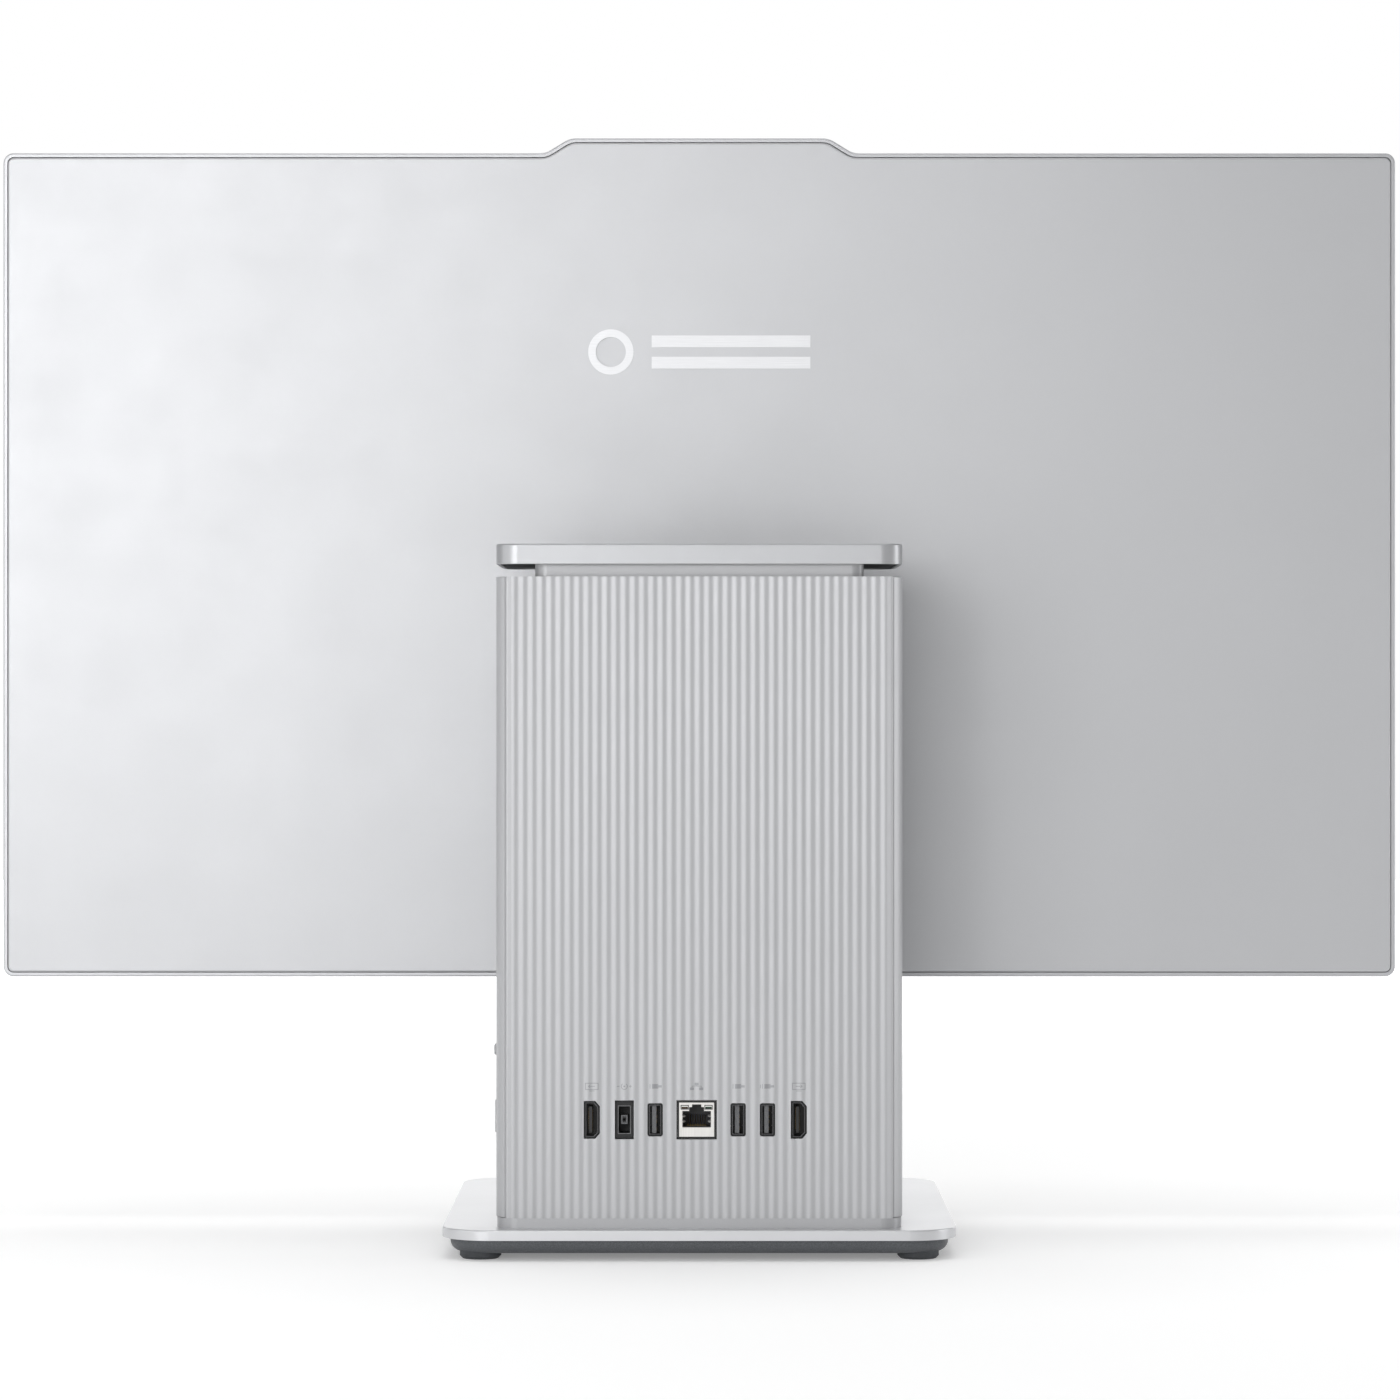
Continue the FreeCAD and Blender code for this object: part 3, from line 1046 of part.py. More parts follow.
def build_fan():
    housing = node(new_body("fan_housing", ("0", "dims.fan_rear", "dims.fan_z")), "fan_housing")
    size, deep, wall = "dims.fan_size", "dims.fan_thick", "dims.fan_wall"
    boss(housing, "XZ", rectangle(size, size), ("0", "0"), f"-{deep}", "0", "case")
    fillet(housing, "dims.fan_corner", both(along(Y_AXIS), lambda edge: edge.CenterOfMass.z < 0), "corners")
    room = ("-" + deep + " + " + wall, "-" + wall)
    pocket(housing, "XZ", disc("dims.rotor_radius + dims.rotor_gap"), ("0", "0"), *room, "scroll")
    outlet = rectangle("2 * (dims.rotor_radius + dims.rotor_gap)", f"{size} / 2 + 2")
    pocket(housing, "XZ", outlet, ("0", f"{size} / 4 + 1"), *room, "outlet")
    pocket(housing, "XZ", disc("dims.fan_inlet"), ("0", "0"), f"-{deep}", f"-{deep} + {wall}", "inlet")
    shaft_high = f"-{deep} + 2 * {wall}"
    boss(housing, "XZ", disc("dims.shaft_radius"), ("0", "0"), shaft_high, f"-{wall}", "shaft")

    foot_spot = f"({size} / 2 - dims.fan_post_inset)"
    for i, (x, z) in enumerate([(-1, -1), (1, -1), (-1, 1), (1, 1)]):
        spot = (f"{x} * {foot_spot}", f"{z} * {foot_spot}")
        reach = "(dims.board_front - dims.fan_rear)"
        boss(housing, "XZ", disc("dims.fan_post"), spot, "0", reach, f"post_{i}")

    rotor = node(new_body("fan_rotor", ("0", "dims.fan_rear", "dims.fan_z")), "fan_rotor")
    low = f"(-{deep} + {wall} + dims.rotor_side)"
    high = f"(-{wall} - dims.rotor_side)"
    boss(rotor, "XZ", disc("dims.rotor_radius"), ("0", "0"), f"{high} - dims.rotor_disc", high, "back_disc")
    boss(rotor, "XZ", disc("dims.rotor_hub"), ("0", "0"), low, high, "hub")
    reach = "(dims.rotor_radius - dims.blade_root)"
    vane = rectangle(reach, "dims.blade_thick")
    centre = (f"dims.blade_root + {reach} / 2", "dims.blade_lean")
    blade = boss(rotor, "XZ", vane, centre, low, f"{high} - dims.rotor_disc / 2", "blade")
    circle_of(rotor, blade, "Y", "dims.blade_count", "blades")
    pocket(rotor, "XZ", disc("dims.rotor_bore"), ("0", "0"), f"-{deep}", "0", "bore")


def build_cards():
    front = "dims.board_front"
    sticks = []
    size = ("dims.memory_length", "dims.memory_thick", "dims.memory_width")
    for name, sign in (("upper", "+"), ("lower", "-")):
        level = f"dims.memory_z {sign} dims.memory_pitch / 2"
        spot = ("0", f"{front} - dims.memory_thick / 2", level)
        sticks.append(centred_block(f"memory_{name}", spot, size))
    node(group("memory_pair", *sticks), "memory_modules")
    for name, x, low, length in (
        ("solid_state_drive", "dims.drive_x", "dims.drive_low", "dims.drive_length"),
        ("radio_card", "dims.radio_x", "dims.radio_low", "dims.radio_length"),
    ):
        corner = (f"{x} - dims.drive_width / 2", f"{front} - dims.drive_thick", low)
        node(block(name, corner, ("dims.drive_width", "dims.drive_thick", length)), name)
    spot = ("dims.cell_x", f"{front} - dims.cell_thick", "dims.cell_z")
    node(rod("cell", "dims.cell_radius", spot, "y", "dims.cell_thick"), "clock_cell")


# ---------------------------------------------------------------- hinge


def build_hinge():
    casting = node(new_body("hinge_casting", ("0", "dims.hinge_y", "dims.hinge_z")), "hinge_casting")
    face = f"({TOWER_FRONT} - dims.hinge_y)"
    back = f"({face} - dims.cast_thick)"
    plate = rounded("2 * dims.cast_half_width", "2 * dims.cast_half_height", "dims.cast_corner")
    boss(casting, "XZ", plate, ("0", "0"), back, face, "wall_plate")
    arm_mid = "(dims.arm_inner + dims.arm_thick / 2)"
    for name, sign in (("right", ""), ("left", "-")):
        low = f"({sign}{arm_mid} - dims.arm_thick / 2)"
        high = f"({low} + dims.arm_thick)"
        boss(casting, "YZ", disc("dims.arm_radius"), ("0", "0"), low, high, f"{name}_eye")
        arm = rectangle(back, "2 * dims.arm_radius")
        boss(casting, "YZ", arm, (f"{back} / 2", "0"), low, high, f"{name}_arm")
    pocket(
        casting,
        "YZ",
        disc("dims.pin_bore"),
        ("0", "0"),
        "-dims.cast_half_width - 1",
        "dims.cast_half_width + 1",
        "pin_bore",
    )
    for i, (x, z) in enumerate(HINGE_SCREW_SPOTS):
        spot = (x, f"{z} - dims.hinge_z")
        pocket(
            casting, "XZ", disc("dims.screw_radius + dims.screw_clear"), spot, back, face, f"screw_hole_{i}"
        )
    screws = []
    for i, (x, z) in enumerate(HINGE_SCREW_SPOTS):
        head = (x, f"{TOWER_FRONT} - dims.cast_thick", z)
        length = "dims.cast_thick + dims.hinge_screw_grip"
        screws.append(screw(f"hinge_screw_{i}", head, "y", length, head_first=True))
    node(group("hinge_screw_set", *screws), "hinge_screws")

    pins, washers = [], []
    for name, sign in (("right", ""), ("left", "-")):
        outer = "(dims.arm_inner + dims.arm_thick)"
        starts = {
            "": ("dims.pin_inner", outer, "(dims.arm_inner - dims.washer_thick)"),
            "-": (f"-{outer}", f"-({outer} + dims.pin_head_thick)", "-dims.arm_inner"),
        }
        shank_x, head_x, washer_x = starts[sign]
        shank_long = f"({outer} - dims.pin_inner)"
        shank = rod(
            f"{name}_pin_shank",
            "dims.pin_radius",
            (shank_x, "dims.hinge_y", "dims.hinge_z"),
            "x",
            shank_long,
        )
        head_at = (head_x, "dims.hinge_y", "dims.hinge_z")
        head = rod(f"{name}_pin_head", "dims.pin_head_radius", head_at, "x", "dims.pin_head_thick")
        pins.append(fuse(f"{name}_pin", shank, head))
        washer_at = (washer_x, "dims.hinge_y", "dims.hinge_z")
        ring = rod(f"{name}_washer_disc", "dims.washer_radius", washer_at, "x", "dims.washer_thick")
        hole = rod(f"{name}_washer_bore", "dims.washer_bore", washer_at, "x", "dims.washer_thick")
        washers.append(cut(f"{name}_washer", ring, hole))
    node(group("pin_pair", *pins), "hinge_pins")
    node(group("washer_pair", *washers), "friction_washers")

    tilt = node(new_body("tilt_bracket", ("0", "dims.hinge_y", "dims.hinge_z")), "tilt_bracket")
    plate_high = "(dims.tilt_rear - dims.hinge_y)"
    half = "dims.barrel_half"
    boss(tilt, "YZ", disc("dims.barrel_radius"), ("0", "0"), f"-{half}", half, "barrel")
    web = rectangle("2 * dims.web_half_width", "2 * dims.web_half_height")
    boss(tilt, "XZ", web, ("0", "0"), plate_high, "0", "web")
    plate = rounded("2 * dims.tilt_half_width", "2 * dims.tilt_half_height", "dims.cast_corner")
    boss(tilt, "XZ", plate, ("0", "0"), f"{plate_high} - dims.tilt_thick", plate_high, "plate")
    pocket(tilt, "YZ", disc("dims.barrel_bore"), ("0", "0"), f"-{half}", half, "pin_bore")
    screws = []
    for i, (x, z) in enumerate(TILT_SCREW_SPOTS):
        spot = (x, f"{z} - dims.hinge_z")
        clear = "dims.screw_radius + dims.screw_clear"
        pocket(
            tilt, "XZ", disc(clear), spot, f"{plate_high} - dims.tilt_thick", plate_high, f"screw_hole_{i}"
        )
        tip = (x, f"{BRACE_REAR} - dims.brace_thick", z)
        screws.append(screw(f"tilt_screw_{i}", tip, "y", "dims.tilt_thick + dims.brace_thick"))
    node(group("tilt_screw_set", *screws), "tilt_screws")

    cover = node(new_body("hinge_cover", ("0", TOWER_FRONT, "dims.hinge_z")), "hinge_cover")
    reach = f"(dims.cover_front - {TOWER_FRONT})"
    shape = rounded("2 * dims.cover_half_width", "2 * dims.cover_half_height", "dims.cover_corner")
    boss(cover, "XZ", shape, ("0", "0"), reach, "0", "case")
    fillet(cover, "dims.cover_edge", in_plane("y", reach), "front_edge")
    hollow = rounded(
        "2 * (dims.cover_half_width - dims.cover_wall)",
        "2 * (dims.cover_half_height - dims.cover_wall)",
        "dims.cover_corner - dims.cover_wall",
    )
    pocket(cover, "XZ", hollow, ("0", "0"), f"{reach} + dims.cover_wall", "0", "inside")
    arm = rectangle("dims.arm_thick + 2 * dims.cover_clear", "2 * (dims.arm_radius + dims.cover_clear)")
    for name, sign in (("right", ""), ("left", "-")):
        spot = (f"{sign}{arm_mid}", "0")
        pocket(cover, "XZ", arm, spot, reach, f"{reach} + dims.cover_wall", f"{name}_arm_hole")


# ---------------------------------------------------------------- display


def outline_points(inset):
    """The display's outline with the camera bump on its top edge, inset from the outer edge."""
    half, low = f"(dims.display_width / 2 - {inset})", f"({inset})"
    top = f"(dims.display_height - {inset})"
    pull = f"({inset}) * tan(dims.bump_slope / 2)"
    bump = f"(dims.bump_top_half - {pull})"
    foot = f"(dims.bump_top_half + dims.bump_rise / tan(dims.bump_slope) - {pull})"
    right = [(half, low), (half, top), (foot, top), (bump, f"({top} + dims.bump_rise)")]
    return right + [(f"-{x}", z) for x, z in reversed(right)]


def round_outline(body, inset, name):
    """Rounds the corners of the outline at this inset: the outer four and the bump's four bends."""
    spots = [(value(x), value(z)) for x, z in outline_points(inset)]
    groups = {"corners": [0, 1, 6, 7], "bends": [2, 3, 4, 5]}
    sizes = {"corners": f"dims.display_corner - {inset}", "bends": "dims.bump_corner"}
    for kind, picks in groups.items():
        chosen = [spots[i] for i in picks]

        def at_spot(edge, chosen=chosen):
            middle = edge.CenterOfMass
            near = any(abs(middle.x - x) + abs(middle.z - z) < 1e-3 for x, z in chosen)
            return near and along(Y_AXIS)(edge)

        fillet(body, sizes[kind], at_spot, f"{name}_{kind}")


def outline_boss(body, inset, low, high, name):
    boss(body, "XZ", polygon(outline_points(inset)), ("0", "0"), low, high, name)
    round_outline(body, inset, name)


def outline_pocket(body, inset, low, high, name):
    pocket(body, "XZ", polygon(outline_points(inset)), ("0", "0"), low, high, name)
    round_outline(body, inset, name)


def build_display_case():
    frame = node(new_body("display_frame", DISPLAY_AT), "display_frame")
    rear = "(dims.display_rear - dims.rim_setback)"
    outline_boss(frame, "0", DISPLAY_FRONT, rear, "frame")
    outline_pocket(frame, "dims.rim_wall", LEDGE_REAR, rear, "rear_room")
    outline_pocket(frame, "dims.rim_wall", DISPLAY_FRONT, LEDGE_FRONT, "front_room")
    fillet(frame, "dims.rim_edge", outer_edges(frame, "y", DISPLAY_FRONT), "front_edge")
    fillet(frame, "dims.rim_edge", outer_edges(frame, "y", rear), "rear_edge")
    window = rectangle(
        "dims.display_width - 2 * dims.ledge_inset", "dims.display_height - 2 * dims.ledge_inset"
    )
    pocket(frame, "XZ", window, ("0", "dims.display_height / 2"), LEDGE_FRONT, LEDGE_REAR, "ledge_window")
    speaker_y = f"({LEDGE_REAR} + dims.speaker_deep / 2)"
    slot = rounded("dims.grille_slot", "dims.grille_length", "(dims.grille_slot / 2)")
    for name, sign in (("right", ""), ("left", "-")):
        first = f"({sign}dims.speaker_x - dims.grille_pitch * (dims.grille_count - 1) / 2)"
        hole = pocket(frame, "XY", slot, (first, speaker_y), "0", "dims.rim_wall", f"{name}_grille_slot")
        row_of(frame, hole, "X", "dims.grille_pitch", "dims.grille_count", f"{name}_grille")

    cover = node(new_body("rear_cover", DISPLAY_AT), "rear_cover")
    inset = "(dims.rim_wall + dims.cover_seam)"
    outline_boss(cover, inset, COVER_INSIDE, "dims.display_rear", "cover")
    fillet(cover, "dims.rear_cover_edge", in_plane("y", "dims.display_rear"), "rear_edge")
    post_x = "(dims.display_width / 2 - (dims.rim_wall + dims.ledge_inset) / 2)"
    for i, (x, z) in enumerate([(x, z) for x in (-1, 1) for z in (0.15, 0.5, 0.85)]):
        spot = (f"{x} * {post_x}", f"{z} * dims.display_height")
        boss(cover, "XZ", disc("dims.cover_post"), spot, LEDGE_REAR, COVER_INSIDE, f"post_{i}")
    web_clear = "2 * dims.web_clear"
    web_hole = rectangle(
        f"2 * dims.web_half_width + {web_clear}", f"2 * dims.web_half_height + {web_clear}"
    )
    spot = ("0", "dims.hinge_z - dims.display_low")
    pocket(cover, "XZ", web_hole, spot, COVER_INSIDE, "dims.display_rear", "hinge_opening")
    seat = "dims.display_rear - dims.emblem_sunk"
    x, z = EMBLEM_RING_AT
    pocket(
        cover,
        "XZ",
        disc("dims.emblem_ring"),
        (x, f"{z} - dims.display_low"),
        seat,
        "dims.display_rear",
        "ring_seat",
    )
    bar = rectangle("dims.emblem_bar", "dims.emblem_bar_height")
    for i, (x, z) in enumerate(EMBLEM_BARS_AT):
        pocket(cover, "XZ", bar, (x, f"{z} - dims.display_low"), seat, "dims.display_rear", f"bar_seat_{i}")

    x, z = EMBLEM_RING_AT
    ring = rod("emblem_disc", "dims.emblem_ring", (x, seat, z), "y", "dims.emblem_thick")
    bore = rod("emblem_bore", "dims.emblem_ring_bore", (x, f"{seat} - 1", z), "y", "dims.emblem_thick + 2")
    bars = []
    for i, (x, z) in enumerate(EMBLEM_BARS_AT):
        middle = (x, f"{seat} + dims.emblem_thick / 2", z)
        bars.append(
            centred_block(
                f"emblem_bar_{i}",
                middle,
                ("dims.emblem_bar", "dims.emblem_thick", "dims.emblem_bar_height"),
            ),
        )
    node(group("emblem_set", cut("emblem_ring", ring, bore), *bars), "emblem")


def build_display_front():
    middle = f"({SCREEN_LOW} + {SCREEN_HIGH}) / 2"
    high = f"({SCREEN_HIGH} - {SCREEN_LOW})"
    glass_y = f"({GLASS_REAR} - dims.glass_thick / 2)"
    node(
        centred_block("screen", ("0", glass_y, middle), (SCREEN_WIDTH, "dims.glass_thick", high)),
        "screen_panel",
    )
    light_y = f"({GLASS_REAR} + dims.light_thick / 2)"
    margin = "2 * dims.light_margin"
    light_size = (f"{SCREEN_WIDTH} - {margin}", "dims.light_thick", f"{high} - {margin}")
    node(centred_block("light", ("0", light_y, middle), light_size), "backlight")
    tray_y = f"({GLASS_REAR} + dims.light_thick + dims.tray_sheet / 2)"
    tray_margin = "2 * dims.tray_margin"
    tray_size = (f"{SCREEN_WIDTH} - {tray_margin}", "dims.tray_sheet", f"{high} - {tray_margin}")
    node(centred_block("tray_sheet", ("0", tray_y, middle), tray_size), "panel_tray")

    chin = node(new_body("chin_cover", ("0", DISPLAY_FRONT, "dims.display_low")), "chin_cover")
    side = "(dims.rim_wall + dims.screen_gap)"
    size = rectangle(f"dims.display_width - 2 * {side}", "dims.chin_height - dims.screen_gap")
    chin_middle = ("0", f"{side} + (dims.chin_height - dims.screen_gap) / 2")
    boss(chin, "XZ", size, chin_middle, "0", "dims.trim_thick", "strip")
    chin_corner = "dims.display_corner - dims.rim_wall"
    fillet(chin, chin_corner, both(along(Y_AXIS), in_plane("z", side)), "lower_corners")
    fillet(chin, "dims.chin_edge", in_plane("y", "0"), "front_edge")
    post = disc("dims.chin_post")
    for i, x in enumerate((-0.75, -0.25, 0.25, 0.75)):
        spot = (f"{x} * dims.display_width / 2", chin_middle[1])
        boss(chin, "XZ", post, spot, "dims.trim_thick", f"{LEDGE_FRONT} - {DISPLAY_FRONT}", f"post_{i}")

    trim = node(new_body("front_trim", DISPLAY_AT), "front_trim")
    outline_boss(trim, side, DISPLAY_FRONT, TRIM_REAR, "trim")
    opening = rectangle(
        "dims.display_width - 2 * (dims.rim_wall + dims.trim_width)",
        f"2 * ({DISPLAY_TOP} - dims.rim_wall - dims.trim_width - dims.display_low)",
    )
    pocket(trim, "XZ", opening, ("0", "0"), DISPLAY_FRONT, TRIM_REAR, "screen_opening")
    chin_space = rectangle("dims.display_width", f"2 * ({CHIN_TOP} - dims.display_low)")
    pocket(trim, "XZ", chin_space, ("0", "0"), DISPLAY_FRONT, TRIM_REAR, "chin_space")
    camera_z = f"({CAMERA_Z} - dims.display_low)"
    pocket(
        trim, "XZ", disc("dims.camera_window"), ("0", camera_z), DISPLAY_FRONT, TRIM_REAR, "camera_window"
    )
    for name, sign in (("right", ""), ("left", "-")):
        spot = (f"{sign}dims.microphone_x", camera_z)
        pocket(
            trim,
            "XZ",
            disc("dims.microphone_hole"),
            spot,
            DISPLAY_FRONT,
            TRIM_REAR,
            f"{name}_microphone_hole",
        )
    slot = rectangle(
        "dims.tab_length + dims.shutter_travel + 2 * dims.tab_clear", "dims.tab_height + 2 * dims.tab_clear"
    )
    spot = ("dims.tab_x - dims.shutter_travel / 2", camera_z)
    pocket(trim, "XZ", slot, spot, DISPLAY_FRONT, TRIM_REAR, "tab_slot")

    shutter = node(new_body("camera_shutter", ("0", TRIM_REAR, CAMERA_Z)), "camera_shutter")
    leaf = rectangle("dims.leaf_length", "dims.leaf_height")
    rear = "(dims.leaf_gap + dims.leaf_thick)"
    boss(shutter, "XZ", leaf, ("dims.leaf_open", "0"), "dims.leaf_gap", rear, "leaf")
    tab = rectangle("dims.tab_length", "dims.tab_height")
    boss(
        shutter, "XZ", tab, ("dims.tab_x", "0"), "-dims.trim_thick - dims.tab_proud", "dims.leaf_gap", "tab"
    )

    lens_y = f"({LEDGE_FRONT} - dims.camera_board_gap - dims.camera_board_thick)"
    lens = node(new_body("camera_lens", ("0", lens_y, CAMERA_Z)), "camera_lens")
    boss(lens, "XZ", disc("dims.lens_radius"), ("0", "0"), "-dims.lens_length", "0", "barrel")
    pocket(
        lens,
        "XZ",
        disc("dims.lens_radius - dims.lens_rim"),
        ("0", "0"),
        "-dims.lens_length",
        "-dims.lens_length + dims.lens_recess",
        "bezel",
    )
    board_size = ("dims.camera_board_length", "dims.camera_board_thick", "dims.camera_board_height")
    board_middle = ("0", f"{lens_y} + dims.camera_board_thick / 2", CAMERA_Z)
    strip = centred_block("camera_strip", board_middle, board_size)
    pods = []
    pod_size = ("dims.microphone_length", "dims.microphone_thick", "dims.microphone_height")
    for name, sign in (("right", ""), ("left", "-")):
        spot = (f"{sign}dims.microphone_x", f"{lens_y} - dims.microphone_thick / 2", CAMERA_Z)
        pods.append(centred_block(f"{name}_microphone", spot, pod_size))
    node(fuse("camera_strip_assembly", strip, *pods), "camera_board")


def build_display_inside():
    brace_low = f"({BRACE_REAR} - dims.brace_thick)"
    middle = ("0", f"({BRACE_REAR} - dims.brace_thick / 2)", "dims.hinge_z")
    size = ("2 * dims.brace_half_width", "dims.brace_thick", "2 * dims.brace_half_height")
    plate = centred_block("brace_plate", middle, size)
    tray_rear = f"({GLASS_REAR} + dims.light_thick + dims.tray_sheet)"
    posts = []
    for i, (x, z) in enumerate([(-1, -1), (1, -1), (-1, 1), (1, 1)]):
        start = (
            f"{x} * (dims.brace_half_width - 2 * dims.brace_boss)",
            tray_rear,
            f"dims.hinge_z + {z} * (dims.brace_half_height - 2 * dims.brace_boss)",
        )
        posts.append(rod(f"brace_post_{i}", "dims.brace_boss", start, "y", f"({brace_low} - {tray_rear})"))
    holes = []
    for i, (x, z) in enumerate(TILT_SCREW_SPOTS):
        holes.append(rod(f"brace_hole_{i}", "dims.screw_radius", (x, f"{brace_low} - 1", z), "y", "5"))
    node(cut("brace_drilled", fuse("brace_solid", plate, *posts), *holes), "display_brace")

    for name, sign in (("right", ""), ("left", "-")):
        low = f"({sign}dims.speaker_x - dims.speaker_length / 2)"
        corner = (low, LEDGE_REAR, "dims.display_low + dims.rim_wall")
        size = ("dims.speaker_length", "dims.speaker_deep", "dims.speaker_height")
        node(block(f"{name}_speaker_box", corner, size), f"speaker_{name}")

    board_y = f"({tray_rear} + dims.driver_board_gap)"
    start = ("-dims.driver_board_length / 2", board_y, "dims.driver_board_z - dims.driver_board_height / 2")
    size = ("dims.driver_board_length", "dims.driver_board_thick", "dims.driver_board_height")
    board = block("driver_board_blank", start, size)
    pads = []
    for i, side in enumerate((-1, 1)):
        spot = (f"{side} * dims.driver_pad_x", tray_rear, "dims.driver_board_z")
        pads.append(
            rod(f"driver_board_pad_{i}", "dims.driver_pad_radius", spot, "y", "dims.driver_board_gap")
        )
    node(fuse("driver_board_assembly", board, *pads), "driver_board")


def build_all():
    fill_sheet()
    build_base()
    build_plinth()
    build_shell()
    build_rear_panel()
    build_top()
    build_rear_ports()
    build_side_ports()
    build_controls()
    build_chassis()
    build_mainboard()
    build_fan()
    build_cards()
    build_hinge()
    build_display_case()
    build_display_front()
    build_display_inside()


def check_and_write():
    doc.recompute()
    for item in doc.Objects:
        if "Invalid" in item.State or "Error" in item.State:
            raise RuntimeError(f"{item.Name} did not recompute: {item.State}")
    os.makedirs("parts", exist_ok=True)
    for item in nodes:
        if item.Shape.isNull() or not item.Shape.isValid():
            raise RuntimeError(f"{item.Label} has no valid shape")
        item.Shape.exportStep(f"parts/{item.Label}.step")


build_all()
check_and_write()
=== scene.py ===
import json
import math

import bmesh
import bpy
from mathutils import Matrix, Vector


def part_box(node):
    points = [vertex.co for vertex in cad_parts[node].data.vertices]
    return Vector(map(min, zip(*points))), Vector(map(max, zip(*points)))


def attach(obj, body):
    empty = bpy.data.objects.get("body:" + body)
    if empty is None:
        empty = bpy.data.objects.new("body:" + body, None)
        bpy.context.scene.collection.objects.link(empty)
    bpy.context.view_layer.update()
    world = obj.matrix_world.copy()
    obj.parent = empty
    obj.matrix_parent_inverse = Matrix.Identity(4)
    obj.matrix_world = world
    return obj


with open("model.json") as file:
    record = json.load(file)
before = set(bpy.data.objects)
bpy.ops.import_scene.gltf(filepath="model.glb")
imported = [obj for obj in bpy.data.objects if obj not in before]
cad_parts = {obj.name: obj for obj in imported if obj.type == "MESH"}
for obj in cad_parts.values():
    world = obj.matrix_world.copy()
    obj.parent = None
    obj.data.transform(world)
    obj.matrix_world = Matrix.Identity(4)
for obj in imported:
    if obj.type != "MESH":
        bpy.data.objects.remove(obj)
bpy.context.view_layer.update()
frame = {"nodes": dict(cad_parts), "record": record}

MM = 0.001


# ---------------------------------------------------------------- node helpers


class Shader:
    """A material being built: short calls that add a node and wire it."""

    def __init__(self, name):
        self.material = bpy.data.materials.new(name)
        self.material.use_nodes = True
        self.tree = self.material.node_tree
        self.bsdf = self.tree.nodes["Principled BSDF"]
        self.place = self.tree.nodes.new("ShaderNodeTexCoord").outputs["Object"]

    def add(self, kind, inputs=(), **settings):
        item = self.tree.nodes.new(kind)
        for key, setting in settings.items():
            setattr(item, key, setting)
        for key, source in dict(inputs).items():
            self.wire(source, item.inputs[key])
        return item

    def wire(self, source, socket):
        if isinstance(source, bpy.types.NodeSocket):
            self.tree.links.new(source, socket)
        else:
            socket.default_value = source

    def math(self, operation, a, b=0.0):
        return self.add("ShaderNodeMath", {0: a, 1: b}, operation=operation).outputs[0]

    def stretch(self, scale):
        """Coordinates with each axis multiplied, in repeats per metre."""
        inputs = {0: self.place, 1: scale}
        return self.add("ShaderNodeVectorMath", inputs, operation="MULTIPLY").outputs[0]

    def noise(self, scale, detail=3.0, rough=0.5, vector=None):
        """Noise with about this many patches per metre."""
        inputs = {"Vector": vector or self.place, "Scale": scale, "Detail": detail, "Roughness": rough}
        return self.add("ShaderNodeTexNoise", inputs).outputs["Fac"]

    def cells(self, scale, **settings):
        """Distance from the middle of the nearest of this many cells per metre."""
        inputs = {"Vector": self.place, "Scale": scale, **settings}
        return self.add("ShaderNodeTexVoronoi", inputs).outputs["Distance"]

    def span(self, value, low, high, to_low=0.0, to_high=1.0):
        inputs = {"Value": value, "From Min": low, "From Max": high, "To Min": to_low, "To Max": to_high}
        return self.add("ShaderNodeMapRange", inputs).outputs["Result"]

    def vary(self, noise, low=0.0, high=1.0):
        """A noise, which stays between these two values nearly everywhere, brought to a range."""
        return self.span(noise, NOISE_LOW, NOISE_HIGH, low, high)

    def mix(self, fac, a, b):
        item = self.tree.nodes.new("ShaderNodeMix")
        item.data_type = "RGBA"
        self.wire(fac, item.inputs[0])
        for source, socket in ((a, item.inputs[MIX_A]), (b, item.inputs[MIX_B])):
            self.wire(colour(source), socket)
        return item.outputs[MIX_RESULT]

    def xyz(self):
        return self.add("ShaderNodeSeparateXYZ", {0: self.place}).outputs

    def set(self, **sockets):
        for key, source in sockets.items():
            self.wire(colour(source), self.bsdf.inputs[SOCKETS[key]])

    def overprint(self, mask, rgb):
        """Lays a colour over the base colour made so far, where the mask is set."""
        base = self.bsdf.inputs["Base Color"].links[0].from_socket
        self.set(color=self.mix(mask, base, rgb))

    def bump(self, height, strength, distance):
        item = self.add("ShaderNodeBump", {"Height": height, "Strength": strength, "Distance": distance})
        self.tree.links.new(item.outputs["Normal"], self.bsdf.inputs["Normal"])


SOCKETS = {
    "color": "Base Color",
    "metallic": "Metallic",
    "roughness": "Roughness",
    "specular": "Specular IOR Level",
    "coat": "Coat Weight",
    "coat_roughness": "Coat Roughness",
    "emission": "Emission Color",
    "emission_strength": "Emission Strength",
    "anisotropic": "Anisotropic",
}
MIX_A, MIX_B, MIX_RESULT = 6, 7, 2  # the colour sockets of a Mix node
NOISE_LOW, NOISE_HIGH = 0.3, 0.7


def colour(source):
    """A colour gains its alpha; anything else is passed on."""
    return (*source, 1.0) if isinstance(source, tuple) else source


def shade(rgb, factor):
    return tuple(channel * factor for channel in rgb)


# ---------------------------------------------------------------- finishes


def painted(name, rgb, roughness=0.42, metallic=0.0, grain=0.00004):
    """Satin paint or moulded plastic: fine grain, slow drifts of tone, faint handling marks."""
    s = Shader(name)
    tint = 0.012
    drift = s.noise(9, 4)
    fine = s.noise(2600, 2, 0.6)
    tone = s.math("ADD", s.vary(drift, -tint, tint), s.vary(fine, -tint * 0.6, tint * 0.6))
    s.set(color=s.mix(s.span(tone, -tint, tint), shade(rgb, 1 - tint), shade(rgb, 1 + tint)))
    s.set(roughness=handled(s, 34, roughness), metallic=metallic, specular=0.5)
    s.bump(s.math("ADD", fine, s.math("MULTIPLY", s.noise(900, 2), 0.8)), 0.55, grain)
    return s


